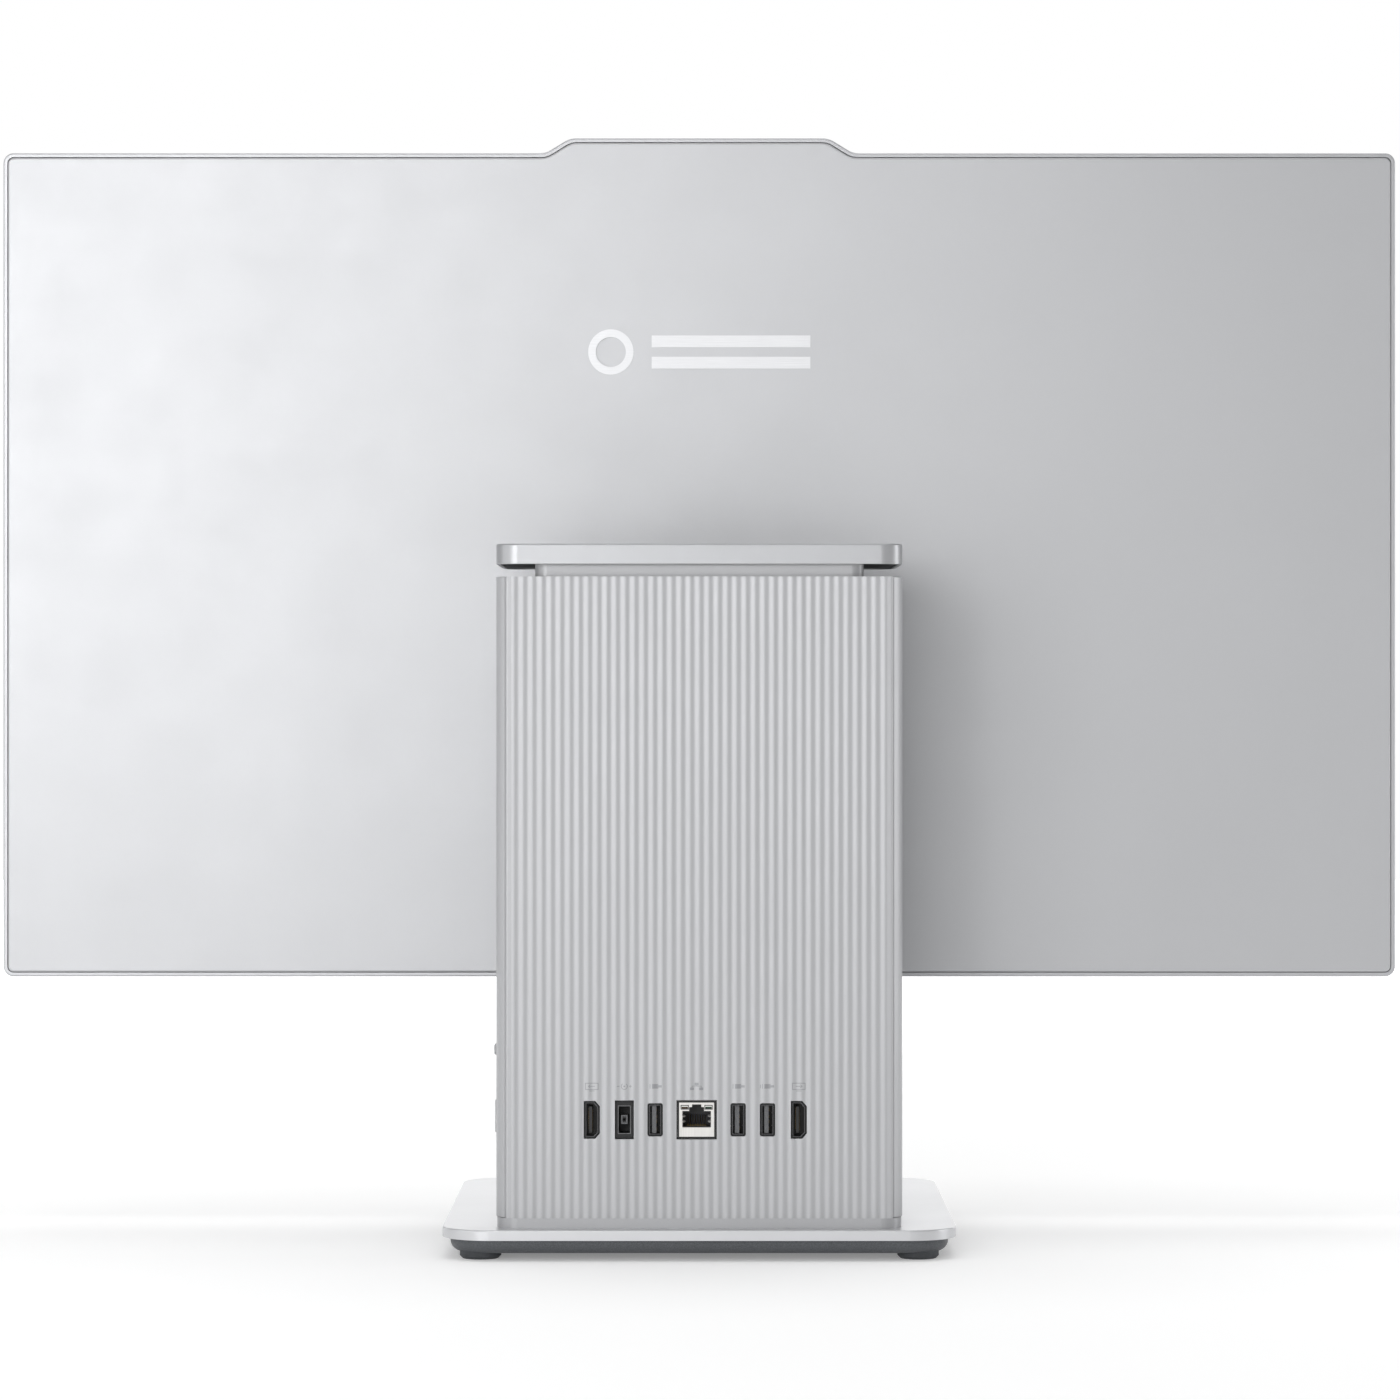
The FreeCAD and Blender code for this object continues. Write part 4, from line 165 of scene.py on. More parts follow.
def handled(s, scale, roughness):
    """Roughness with faint handling marks."""
    return s.vary(s.noise(scale, 6, 0.7), roughness - 0.015, roughness + 0.02)


def blasted(name, rgb, roughness=0.38, metallic=0.75):
    """Bead-blasted and anodised metal."""
    s = Shader(name)
    pits = s.cells(3200.0, Randomness=1.0)
    s.set(color=s.mix(s.vary(s.noise(7, 4)), shade(rgb, 0.99), shade(rgb, 1.01)))
    s.set(roughness=handled(s, 48, roughness), metallic=metallic, specular=0.5)
    s.bump(s.math("ADD", pits, s.math("MULTIPLY", s.noise(1400, 3), 0.5)), 0.5, 0.00003)
    return s


def brushed(name, rgb, along="X", roughness=0.3, metallic=1.0, grain=0.00004):
    """Metal with fine parallel scratches along one axis."""
    s = Shader(name)
    lengthways, across = 60, 5200
    scale = tuple(lengthways if axis == along else across for axis in "XYZ")
    lines = s.noise(1.0, 3, 0.6, s.stretch(scale))
    s.set(color=s.mix(s.vary(lines), shade(rgb, 0.9), shade(rgb, 1.06)))
    s.set(roughness=s.vary(lines, roughness - 0.06, roughness + 0.1))
    s.set(metallic=metallic, specular=0.5, anisotropic=0.4)
    s.bump(lines, 0.4, grain)
    return s


def rubber(name, rgb):
    """Matt rubber with open pores and a little dust."""
    s = Shader(name)
    dust = s.noise(120, 6, 0.7)
    s.set(color=s.mix(s.span(dust, 0.45, 0.8), rgb, shade(rgb, 2.0)))
    s.set(roughness=s.vary(dust, 0.62, 0.82), specular=0.3)
    s.bump(s.cells(1500.0), 0.6, 0.00005)
    return s


def circuit(name, mask):
    """Solder mask over copper tracks, with a scatter of tinned pads, on a board that faces along Y."""
    s = Shader(name)
    x, _, z = s.xyz()
    flat = s.add("ShaderNodeCombineXYZ", {0: x, 1: z, 2: 0.0}).outputs[0]
    blocks = {"Vector": flat, "Scale": 260.0, "Randomness": 0.75}
    steps = s.add("ShaderNodeTexVoronoi", blocks, distance="CHEBYCHEV").outputs["Distance"]
    tracks = s.math("LESS_THAN", s.math("PINGPONG", s.math("MULTIPLY", steps, 5.0), 1.0), 0.22)
    pads = s.math("LESS_THAN", s.cells(420.0, Vector=flat, Randomness=0.9), 0.13)
    masked = s.mix(s.math("MULTIPLY", tracks, 0.7), mask, shade(mask, 1.9))
    s.set(color=s.mix(pads, masked, (0.62, 0.6, 0.55)))
    s.set(metallic=s.math("MULTIPLY", pads, 0.9), roughness=s.vary(s.noise(300, 3), 0.28, 0.42))
    s.bump(s.math("ADD", tracks, pads), 0.5, 0.00003)
    return s


def woven(name, rgb):
    """Fine black cloth: two crossing rows of threads."""
    s = Shader(name)
    rows = [s.math("PINGPONG", s.math("MULTIPLY", axis, 1400.0), 1.0) for axis in s.xyz()[1:3]]
    threads = s.math("MAXIMUM", *rows)
    s.set(color=s.mix(s.span(threads, 0.3, 1.0), shade(rgb, 0.2), shade(rgb, 1.5)))
    s.set(roughness=s.vary(s.noise(200, 3), 0.7, 0.85), specular=0.2)
    s.bump(threads, 0.7, 0.0001)
    return s


def moulded(name, rgb, roughness=0.5):
    """Dark glass-filled plastic with a spark-eroded texture."""
    s = Shader(name)
    texture = s.noise(1900, 4, 0.65)
    s.set(color=s.mix(s.span(texture, 0.35, 0.7), shade(rgb, 0.8), shade(rgb, 1.35)))
    s.set(roughness=s.vary(s.noise(60, 5), roughness - 0.06, roughness + 0.08), specular=0.45)
    s.bump(texture, 0.6, 0.00006)
    return s


def glassy(name, rgb, roughness=0.06, coat=0.6):
    """Clear or coated glass and gloss plastic: almost smooth, with faint dust and smears."""
    s = Shader(name)
    smears = s.noise(26, 6, 0.75)
    dust = s.math("GREATER_THAN", s.noise(1300, 2), 0.76)
    s.set(color=s.mix(s.math("MULTIPLY", dust, 0.02), rgb, (0.5, 0.5, 0.5)))
    s.set(roughness=s.span(smears, 0.35, 0.75, roughness, roughness + 0.08))
    s.set(coat=coat, coat_roughness=0.04, specular=0.5)
    s.bump(s.noise(700, 2), 0.15, 0.00001)
    return s


# ---------------------------------------------------------------- printed marks


LINE = 0.35  # the width of a printed line, in millimetres
MARK_RISE = 6.0  # from the top of the network socket to the middle of the marks, in millimetres
MARK_DEPTH = 1.2 * MM  # the ink covers only what is this near the ribs' crests
MARK_STRENGTH = 0.62
MARK_INK = (0.2, 0.205, 0.215)
KEY_INK = (0.16, 0.165, 0.175)
TOWER_PAINT = (0.433, 0.437, 0.45)
COVER_PAINT = (0.475, 0.48, 0.494)


def corners(node):
    """The low and high corners of a node's box, and its middle."""
    low, high = (Vector(corner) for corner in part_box(node))
    return low, high, (low + high) / 2


def within(s, value, limit):
    return s.math("LESS_THAN", s.math("ABSOLUTE", value), limit)


class Ink:
    """Small printed shapes worked out from the surface's own position, along X and Z or along Y and Z."""

    def __init__(self, shader, across="X"):
        self.s = shader
        x, y, z = shader.xyz()
        self.u = x if across == "X" else y
        self.v = z
        self.total = None

    def join(self, mask):
        self.total = mask if self.total is None else self.s.math("MAXIMUM", self.total, mask)

    def apart(self, u, v):
        return self.s.math("SUBTRACT", self.u, u * MM), self.s.math("SUBTRACT", self.v, v * MM)

    def bar(self, u, v, width, height, turn=0.0):
        """A rectangle, turned about its centre, in millimetres and degrees."""
        s, (du, dv) = self.s, self.apart(u, v)
        cosine, sine = math.cos(math.radians(turn)), math.sin(math.radians(turn))
        along = s.math("ADD", s.math("MULTIPLY", du, cosine), s.math("MULTIPLY", dv, sine))
        across = s.math("SUBTRACT", s.math("MULTIPLY", dv, cosine), s.math("MULTIPLY", du, sine))
        sides = ((along, width), (across, height))
        self.join(s.math("MULTIPLY", *(within(s, away, side * MM / 2) for away, side in sides)))

    def ring(self, u, v, radius, line, gap=None):
        """A circle line; gap leaves out its top, as half an angle in degrees. A line of 0 fills the disc."""
        s, (du, dv) = self.s, self.apart(u, v)
        away = s.math("SQRT", s.math("ADD", s.math("MULTIPLY", du, du), s.math("MULTIPLY", dv, dv)))
        if line:
            mask = within(s, s.math("SUBTRACT", away, radius * MM), line * MM / 2)
        else:
            mask = s.math("LESS_THAN", away, radius * MM)
        if gap is not None:
            limit = s.math("MULTIPLY", away, math.cos(math.radians(gap)))
            mask = s.math("MULTIPLY", mask, s.math("LESS_THAN", dv, limit))
        self.join(mask)


def monitor_mark(ink, u, v, sign):
    """A screen outline with an arrow that points in or out."""
    for dv in (-1.3, 1.3):
        ink.bar(u, v + dv, 5.2, LINE)
    for du in (-2.6, 2.6):
        ink.bar(u + du, v, LINE, 2.9)
    ink.bar(u, v - 1.9, 2.2, LINE)
    ink.bar(u, v, 2.6, LINE)
    for turn in (40, -40):
        ink.bar(u + sign, v - sign * math.copysign(LINE, turn), 1.2, LINE, turn)


def power_mark(ink, u, v):
    """A direct-current socket: a dot in a broken ring between two terminals."""
    ink.ring(u, v, 1.25, LINE, 35)
    ink.ring(u, v, 0.4, 0)
    ink.bar(u + 2.5, v, 1.1, LINE)
    ink.bar(u - 2.5, v, 1.1, LINE)
    ink.bar(u - 2.5, v, LINE, 1.1)


def plug_mark(ink, u, v, marks):
    """A plug seen from its side, with one short line per speed step."""
    ink.bar(u, v, 2.6, 1.9)
    ink.bar(u - 2.0, v, 1.4, 1.0)
    for i in range(marks):
        ink.bar(u + 2.1 + 0.8 * i, v, LINE, 1.9 - 0.4 * i)


def network_mark(ink, u, v):
    """Three linked boxes."""
    ink.bar(u, v + 0.95, 1.7, 1.1)
    for du in (-1.9, 1.9):
        ink.bar(u + du, v - 1.0, 1.7, 1.1)
        ink.bar(u + du, v - 0.2, 0.3, 0.7)
    ink.bar(u, v + 0.1, 4.1, 0.3)
    ink.bar(u, v + 0.3, 0.3, 0.6)


def rear_marks():
    """The ribbed panel's plastic, with the row of printed pictograms over the sockets."""
    s = painted("ribbed_case", TOWER_PAINT, 0.42, 0.3)
    ink = Ink(s)
    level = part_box("network_port")[1][2] / MM + MARK_RISE

    def across(name):
        return corners(name)[2].x / MM

    monitor_mark(ink, across("video_out_port"), level, 1)
    power_mark(ink, across("power_inlet"), level)
    for name, marks in (("usb_port_1", 1), ("usb_port_2", 1), ("usb_port_3", 2)):
        plug_mark(ink, across(name), level, marks)
    network_mark(ink, across("network_port"), level)
    monitor_mark(ink, across("video_in_port"), level, -1)
    outside = s.math("GREATER_THAN", s.xyz()[1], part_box("rear_panel")[1][1] - MARK_DEPTH)
    s.overprint(s.math("MULTIPLY", s.math("MULTIPLY", ink.total, outside), MARK_STRENGTH), MARK_INK)
    return s


def screen_finish():
    """A coated panel: a dark picture area inside a black printed border."""
    border_side, border_top = 4.5 * MM, 4.0 * MM
    low, high, centre = corners("screen_panel")
    half = (high - low) / 2
    s = glassy("screen_glass", (0.004, 0.0042, 0.005), 0.16, 0.0)
    s.set(specular=0.22)
    x, _, z = s.xyz()
    inside_x = within(s, x, half.x - border_side)
    inside_z = within(s, s.math("SUBTRACT", z, centre.z), half.z - border_top)
    lit = s.math("MULTIPLY", inside_x, inside_z)
    picture = s.mix(s.vary(s.noise(3000, 1)), (0.006, 0.0063, 0.0075), (0.01, 0.0103, 0.012))
    s.set(color=s.mix(lit, (0.003, 0.003, 0.0035), picture))
    return s


def key_finish():
    """The power key's cap, with its cut-in power mark drawn as darker ink."""
    s = painted("key_paint", shade(TOWER_PAINT, 0.95), 0.36)
    centre = corners("power_button")[2] / MM
    ink = Ink(s, "Y")
    ink.ring(centre.y, centre.z, 1.15, 0.28, 32)
    ink.bar(centre.y, centre.z + 0.85, 0.28, 1.15)
    near = within(s, s.math("SUBTRACT", s.xyz()[2], centre.z * MM), 2 * MM)
    s.overprint(s.math("MULTIPLY", ink.total, near), KEY_INK)
    return s


def make_finishes():
    """One shader for each slot in the record and for each finish of the pieces added here."""
    table = {
        "base_metal": (blasted, (0.6, 0.605, 0.62), 0.34, 0.55),
        "tray_plastic": (moulded, (0.075, 0.08, 0.087), 0.5),
        "foot_rubber": (rubber, (0.05, 0.053, 0.058)),
        "case_plastic": (painted, TOWER_PAINT, 0.42, 0.3),
        "cap_metal": (blasted, (0.39, 0.395, 0.408), 0.36, 0.6),
        "liner_plastic": (moulded, (0.045, 0.046, 0.05), 0.6),
        "steel": (brushed, (0.56, 0.565, 0.57), "Z", 0.34),
        "sheet_steel": (brushed, (0.62, 0.625, 0.63), "Z", 0.42),
        "die_cast": (painted, (0.15, 0.155, 0.165), 0.5, 0.1, 0.00008),
        "circuit_board": (circuit, (0.008, 0.028, 0.021)),
        "chip_black": (moulded, (0.02, 0.02, 0.022), 0.5),
        "nickel": (brushed, (0.62, 0.61, 0.58), "X", 0.25),
        "copper": (brushed, (0.72, 0.36, 0.22), "Z", 0.28),
        "fin_metal": (brushed, (0.75, 0.75, 0.76), "Y", 0.34),
        "fan_plastic": (moulded, (0.025, 0.025, 0.027), 0.48),
        "port_metal": (brushed, (0.16, 0.16, 0.165), "Y", 0.36, 0.85),
        "network_shield": (brushed, (0.66, 0.65, 0.63), "Z", 0.42, 0.8),
        "port_black": (moulded, (0.006, 0.006, 0.007), 0.5),
        "light_pipe": (glassy, (0.75, 0.78, 0.8), 0.3, 0.2),
        "display_metal": (blasted, (0.47, 0.475, 0.49), 0.4, 0.5),
        "cover_paint": (painted, COVER_PAINT, 0.42, 0.5, 0.00003),
        "emblem_metal": (brushed, (0.66, 0.665, 0.68), "X", 0.36, 0.3, 0.00001),
        "diffuser": (moulded, (0.6, 0.6, 0.6), 0.5),
        "chin_plastic": (painted, COVER_PAINT, 0.45),
        "trim_plastic": (moulded, (0.012, 0.012, 0.013), 0.42),
        "lens_glass": (glassy, (0.006, 0.006, 0.012), 0.03, 1.0),
        "friction_lining": (brushed, (0.45, 0.34, 0.17), "Y", 0.4),
        "gold": (brushed, (0.3, 0.22, 0.1), "Y", 0.3),
        "socket_black": (moulded, (0.008, 0.008, 0.009), 0.4),
        "filter_cloth": (woven, (0.02, 0.02, 0.021)),
        "tongue_grey": (moulded, (0.11, 0.112, 0.118), 0.45),
        "shell_edge": (brushed, (0.13, 0.13, 0.135), "Z", 0.36, 0.9),
        "lamp_green": (glassy, (0.012, 0.035, 0.018), 0.2, 0.4),
        "lamp_amber": (glassy, (0.05, 0.032, 0.014), 0.2, 0.4),
    }
    finishes = {name: make(name, *settings) for name, (make, *settings) in table.items()}
    finishes.update(rib_plastic=rear_marks(), key_plastic=key_finish(), screen_glass=screen_finish())
    return finishes


# ---------------------------------------------------------------- mesh helpers


SHARP = math.radians(35)  # an edge that turns more than this stays crisp


def finish_mesh(name, mesh, finish, body, bevel=0.0, segments=2):
    """Makes an object of a bmesh, softens its edges, paints it and puts it on its body."""
    bmesh.ops.recalc_face_normals(mesh, faces=mesh.faces)
    data = bpy.data.meshes.new(name)
    mesh.to_mesh(data)
    mesh.free()
    piece = bpy.data.objects.new(name, data)
    bpy.context.scene.collection.objects.link(piece)
    data.materials.append(FINISH[finish].material)
    if bevel:
        soften = piece.modifiers.new("edges", "BEVEL")
        soften.width = bevel
        soften.segments = segments
        soften.limit_method = "ANGLE"
        soften.harden_normals = True
    data.polygons.foreach_set("use_smooth", [True] * len(data.polygons))
    data.set_sharp_from_angle(angle=SHARP)
    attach(piece, body)


AXES = {
    "X": lambda u, v, w: (w, u, v),
    "Y": lambda u, v, w: (u, w, v),
}


def add_prism(mesh, outline, axis, low, high):
    """A solid of a flat outline between two levels along an axis, everything in metres."""
    put = AXES[axis]
    rings = [[mesh.verts.new(put(u, v, level)) for u, v in outline] for level in (low, high)]
    mesh.faces.new(rings[0])
    mesh.faces.new(list(reversed(rings[1])))
    count = len(outline)
    for i in range(count):
        j = (i + 1) % count
        mesh.faces.new((rings[0][i], rings[0][j], rings[1][j], rings[1][i]))


def add_sleeve(mesh, outer, inner, axis, low, high):
    """A wall between two outlines of the same number of points, open at both ends."""
    put = AXES[axis]
    walls = [(line, level) for level in (low, high) for line in (outer, inner)]
    rings = [[mesh.verts.new(put(u, v, level)) for u, v in line] for line, level in walls]
    count = len(outer)
    for i in range(count):
        j = (i + 1) % count
        for first, second in ((0, 1), (1, 3), (3, 2), (2, 0)):
            a, b = rings[first], rings[second]
            mesh.faces.new((a[i], a[j], b[j], b[i]))


def block_outline(u, v, width, height):
    return [(u + a * width / 2, v + b * height / 2) for a, b in ((-1, -1), (1, -1), (1, 1), (-1, 1))]


def circle_outline(u, v, radius, count=48):
    turns = [2 * math.pi * i / count for i in range(count)]
    return [(u + radius * math.cos(t), v + radius * math.sin(t)) for t in turns]


SHARPEST_CORNER = 0.2  # keeps a very sharp corner from running away when it is inset


def inset(outline, distance):
    """The outline moved inwards by a distance, corner by corner."""
    following = outline[1:] + outline[:1]
    area = sum(a[0] * b[1] - b[0] * a[1] for a, b in zip(outline, following))
    side = 1 if area > 0 else -1
    moved = []
    for i, point in enumerate(outline):
        before, here, after = Vector(outline[i - 1]), Vector(point), Vector(following[i])
        first, second = (here - before).normalized(), (after - here).normalized()
        normals = [Vector((-d.y, d.x)) * side for d in (first, second)]
        corner = (normals[0] + normals[1]).normalized()
        moved.append(tuple(here + corner * distance / max(SHARPEST_CORNER, corner.dot(normals[0]))))
    return moved


def add_wire(mesh, points, radius, sides=8):
    """A round wire through points."""
    section = [Vector((u, v, 0)) for u, v in circle_outline(0, 0, radius, sides)]
    rings = []
    for i, point in enumerate(points):
        ahead = Vector(points[min(i + 1, len(points) - 1)]) - Vector(points[max(i - 1, 0)])
        turn = ahead.to_track_quat("Z", "Y").to_matrix()
        rings.append([mesh.verts.new(Vector(point) + turn @ spoke) for spoke in section])
    for a, b in zip(rings, rings[1:]):
        for k in range(sides):
            mesh.faces.new((a[k], a[(k + 1) % sides], b[(k + 1) % sides], b[k]))
    mesh.faces.new(list(reversed(rings[0])))
    mesh.faces.new(rings[-1])


def add_ball(mesh, centre, radii, around=40, rings=20):
    """A ball, with a radius for each axis and its poles along Z."""

    def point(tilt, turn=0.0):
        direction = (math.sin(tilt) * math.cos(turn), math.sin(tilt) * math.sin(turn), math.cos(tilt))
        return mesh.verts.new([at + radius * part for at, radius, part in zip(centre, radii, direction)])

    turns = [2 * math.pi * i / around for i in range(around)]
    top, bottom = point(0.0), point(math.pi)
    bands = [[point(math.pi * k / rings, turn) for turn in turns] for k in range(1, rings)]
    for i in range(around):
        j = (i + 1) % around
        mesh.faces.new((top, bands[0][i], bands[0][j]))
        mesh.faces.new((bottom, bands[-1][j], bands[-1][i]))
        for upper, lower in zip(bands, bands[1:]):
            mesh.faces.new((upper[i], lower[i], lower[j], upper[j]))


# ---------------------------------------------------------------- rear sockets

# A size times MM is in millimetres. "face" is the level of a socket's mouth along Y.

LIP_GAP = 0.02 * MM  # a lip stands this far inside the socket's outline
LIP_WIDTH = 0.42 * MM
LIP_BACK, LIP_FRONT = 0.15 * MM, 0.14 * MM  # behind the mouth and in front of it
EDGE_INSET = 0.5 * MM  # the shell's bright edge starts inside the lip
EDGE_BACK = 0.9 * MM
LINER_GAP = 0.02 * MM  # between a liner and the wall it covers
USB_DEPTH = 10.0 * MM  # how deep the CAD sockets are cut
VIDEO_DEPTH = 9.0 * MM


def ring_piece(name, outline, width, low, high, finish, bevel=0.1):
    """A flat frame that follows an outline on its inside, between two levels along Y."""
    mesh = bmesh.new()
    add_sleeve(mesh, outline, inset(outline, width), "Y", low, high)
    finish_mesh(name, mesh, finish, "tower", bevel * MM)


def usb_details():
    """A dark lip, a pale shell edge inside it, the tongue with four contacts, and the shell's springs."""
    for name in ("usb_port_1", "usb_port_2", "usb_port_3"):
        low, high, centre = corners(name)
        face = high.y
        rim = block_outline(centre.x, centre.z, high.x - low.x, high.z - low.z)
        lip, bright = inset(rim, LIP_GAP), inset(rim, EDGE_INSET)
        ring_piece(f"{name}_lip", lip, LIP_WIDTH, face - LIP_BACK, face + LIP_FRONT, "port_black")
        back, front = face - EDGE_BACK, face + 0.05 * MM
        ring_piece(f"{name}_shell_edge", bright, 0.22 * MM, back, front, "shell_edge", 0.04)
        u = centre.x + 0.4 * MM
        tongue = bmesh.new()
        blade = block_outline(u, centre.z, 1.95 * MM, 11.3 * MM)
        add_prism(tongue, blade, "Y", face - USB_DEPTH + 0.05 * MM, face - 0.75 * MM)
        finish_mesh(f"{name}_tongue", tongue, "tongue_grey", "tower", 0.2 * MM)
        contacts = bmesh.new()
        for offset in (-3.9, -1.0, 1.0, 3.9):
            strip = block_outline(u - 1.03 * MM, centre.z + offset * MM, 0.16 * MM, 1.0 * MM)
            add_prism(contacts, strip, "Y", face - 8.5 * MM, face - 1.7 * MM)
        finish_mesh(f"{name}_contacts", contacts, "gold", "tower", 0.04 * MM, 1)
        springs = bmesh.new()
        for side in (-1, 1):
            for level in (-2.6, 2.6):
                x, z = centre.x + side * 2.32 * MM, centre.z + level * MM
                bent = x - side * 0.5 * MM
                points = [(x, face - 1.2 * MM, z), (bent, face - 2.8 * MM, z), (x, face - 5 * MM, z)]
                add_wire(springs, points, 0.22 * MM)
        finish_mesh(f"{name}_springs", springs, "port_metal", "tower")
        liner = bmesh.new()
        shell = block_outline(centre.x, centre.z, 4.8 * MM, 12.1 * MM)
        floor = face - 9.4 * MM
        add_prism(liner, shell, "Y", face - USB_DEPTH + 0.02 * MM, floor)
        add_sleeve(liner, inset(shell, LINER_GAP), inset(shell, 0.12 * MM), "Y", floor, face - 1.2 * MM)
        finish_mesh(f"{name}_liner", liner, "socket_black", "tower")


def video_outline(centre, grow):
    """The full-size video connector's outline, with its two bevelled corners, moved inwards."""
    x, z = 3.0 * MM, 7.5 * MM
    shoulder, narrow = x - 1.9 * MM, z - 2.2 * MM
    points = [(x, -z), (x, z), (-shoulder, z), (-x, narrow), (-x, -narrow), (-shoulder, -z)]
    return inset([(centre.x + u, centre.z + v) for u, v in points], grow)


def video_details():
    """A black lip, a thin pale shell edge, and the tongue with its two rows of fine contacts."""
    for name in ("video_out_port", "video_in_port"):
        _, high, centre = corners(name)
        face = high.y
        u = centre.x + 0.5 * MM
        tongue = bmesh.new()
        blade = block_outline(u, centre.z, 1.4 * MM, 10.9 * MM)
        add_prism(tongue, blade, "Y", face - VIDEO_DEPTH + 0.05 * MM, face - 0.7 * MM)
        finish_mesh(f"{name}_tongue", tongue, "socket_black", "tower", 0.15 * MM)
        contacts = bmesh.new()
        for side in (-1, 1):
            for i in range(9):
                level = centre.z + (i - 4 + side * 0.25) * 1.0 * MM
                strip = block_outline(u + side * 0.74 * MM, level, 0.12 * MM, 0.4 * MM)
                add_prism(contacts, strip, "Y", face - 7.5 * MM, face - 1.6 * MM)
        finish_mesh(f"{name}_contacts", contacts, "gold", "tower")
        liner = bmesh.new()
        shell = video_outline(centre, 0.47 * MM)
        floor = face - 8.5 * MM
        add_prism(liner, shell, "Y", face - VIDEO_DEPTH + 0.02 * MM, floor)
        add_sleeve(liner, inset(shell, LINER_GAP), inset(shell, 0.14 * MM), "Y", floor, face - EDGE_BACK)
        finish_mesh(f"{name}_liner", liner, "socket_black", "tower")
        lip, edge = video_outline(centre, LIP_GAP), video_outline(centre, EDGE_INSET)
        ring_piece(f"{name}_lip", lip, LIP_WIDTH, face - LIP_BACK, face + LIP_FRONT, "port_black")
        back, front = face - EDGE_BACK, face + 0.04 * MM
        ring_piece(f"{name}_shell_edge", edge, 0.2 * MM, back, front, "shell_edge", 0.04)


def inlet_details():
    """The power inlet's black frame, the bright ridge round its mouth, and the collar round the pin."""
    _, high, centre = corners("power_inlet")
    face = high.y
    for name, width, height, line, back, front, finish, bevel in (
        ("inlet_rim", 7.0, 15.2, 0.5, -0.2, 0.15, "port_black", 0.1),
        ("inlet_ridge", 5.4, 11.7, 0.32, -0.1, 0.2, "port_metal", 0.07),
        ("inlet_collar", 2.7, 3.7, 0.6, -8.5, -0.8, "tongue_grey", 0.08),
    ):
        outline = block_outline(centre.x, centre.z, width * MM, height * MM)
        ring_piece(name, outline, line * MM, face + back * MM, face + front * MM, finish, bevel)


def network_outline(centre, low_z):
    """The stepped mouth of an eight-pin socket."""
    halves, rises = (5.9, 3.1, 1.95), (6.8, 1.6, 1.1)
    right, level = [], low_z
    for half, rise in zip(halves, rises):
        right += [(half * MM, level), (half * MM, level + rise * MM)]
        level += rise * MM
    left = [(-u, v) for u, v in reversed(right)]
    return [(centre.x + u, v) for u, v in right + left]


def network_details():
    """The black frame round the shield, the lined mouth, eight contacts, two lamps and the side fingers."""
    low, high, centre = corners("network_port")
    face = high.y
    floor = low.z + 4.6 * MM
    mouth = network_outline(centre, floor)
    liner = bmesh.new()
    sleeve = inset(mouth, 0.03 * MM), inset(mouth, 0.4 * MM)
    add_sleeve(liner, *sleeve, "Y", face - 12.4 * MM, face - 0.25 * MM)
    add_prism(liner, inset(mouth, 0.05 * MM), "Y", face - 12.45 * MM, face - 12.0 * MM)
    finish_mesh("network_liner", liner, "socket_black", "tower", 0.06 * MM, 1)
    wires = bmesh.new()
    for i in range(8):
        x = centre.x + (i - 3.5) * 1.02 * MM
        route = ((2.2, 0.75), (3.2, 0.7), (6.5, 2.4), (10.5, 4.4))
        add_wire(wires, [(x, face - deep * MM, floor + rise * MM) for deep, rise in route], 0.17 * MM)
    finish_mesh("network_contacts", wires, "gold", "tower")
    for side, finish in ((-1, "lamp_green"), (1, "lamp_amber")):
        lamp = bmesh.new()
        window = block_outline(centre.x + side * 4.9 * MM, low.z + 12.9 * MM, 2.7 * MM, 1.2 * MM)
        add_prism(lamp, window, "Y", face - 0.38 * MM, face - 0.02 * MM)
        finish_mesh(f"network_{finish}", lamp, finish, "tower", 0.08 * MM)
        bezel, back, front = inset(window, -0.35 * MM), face - 0.3 * MM, face + 0.06 * MM
        ring_piece(f"network_{finish}_bezel", bezel, 0.33 * MM, back, front, "socket_black", 0.05)
    fingers = bmesh.new()
    for side in (-1, 1):
        for level in (7.0, 9.2):
            route = ((6.0, 0.02), (5.1, -0.9), (5.0, -2.2), (5.6, -4.5))
            z = low.z + level * MM
            add_wire(fingers, [(centre.x + side * x * MM, face + y * MM, z) for x, y in route], 0.42 * MM)
    finish_mesh("network_fingers", fingers, "network_shield", "tower")
    rim = block_outline(centre.x, centre.z, high.x - low.x - 2 * LIP_GAP, high.z - low.z - 2 * LIP_GAP)
    ring_piece("network_frame", rim, 0.75 * MM, face - 0.2 * MM, face + 0.16 * MM, "port_black", 0.12)


# ---------------------------------------------------------------- sides and front

SIDES = ((1, "right"), (-1, "left"))


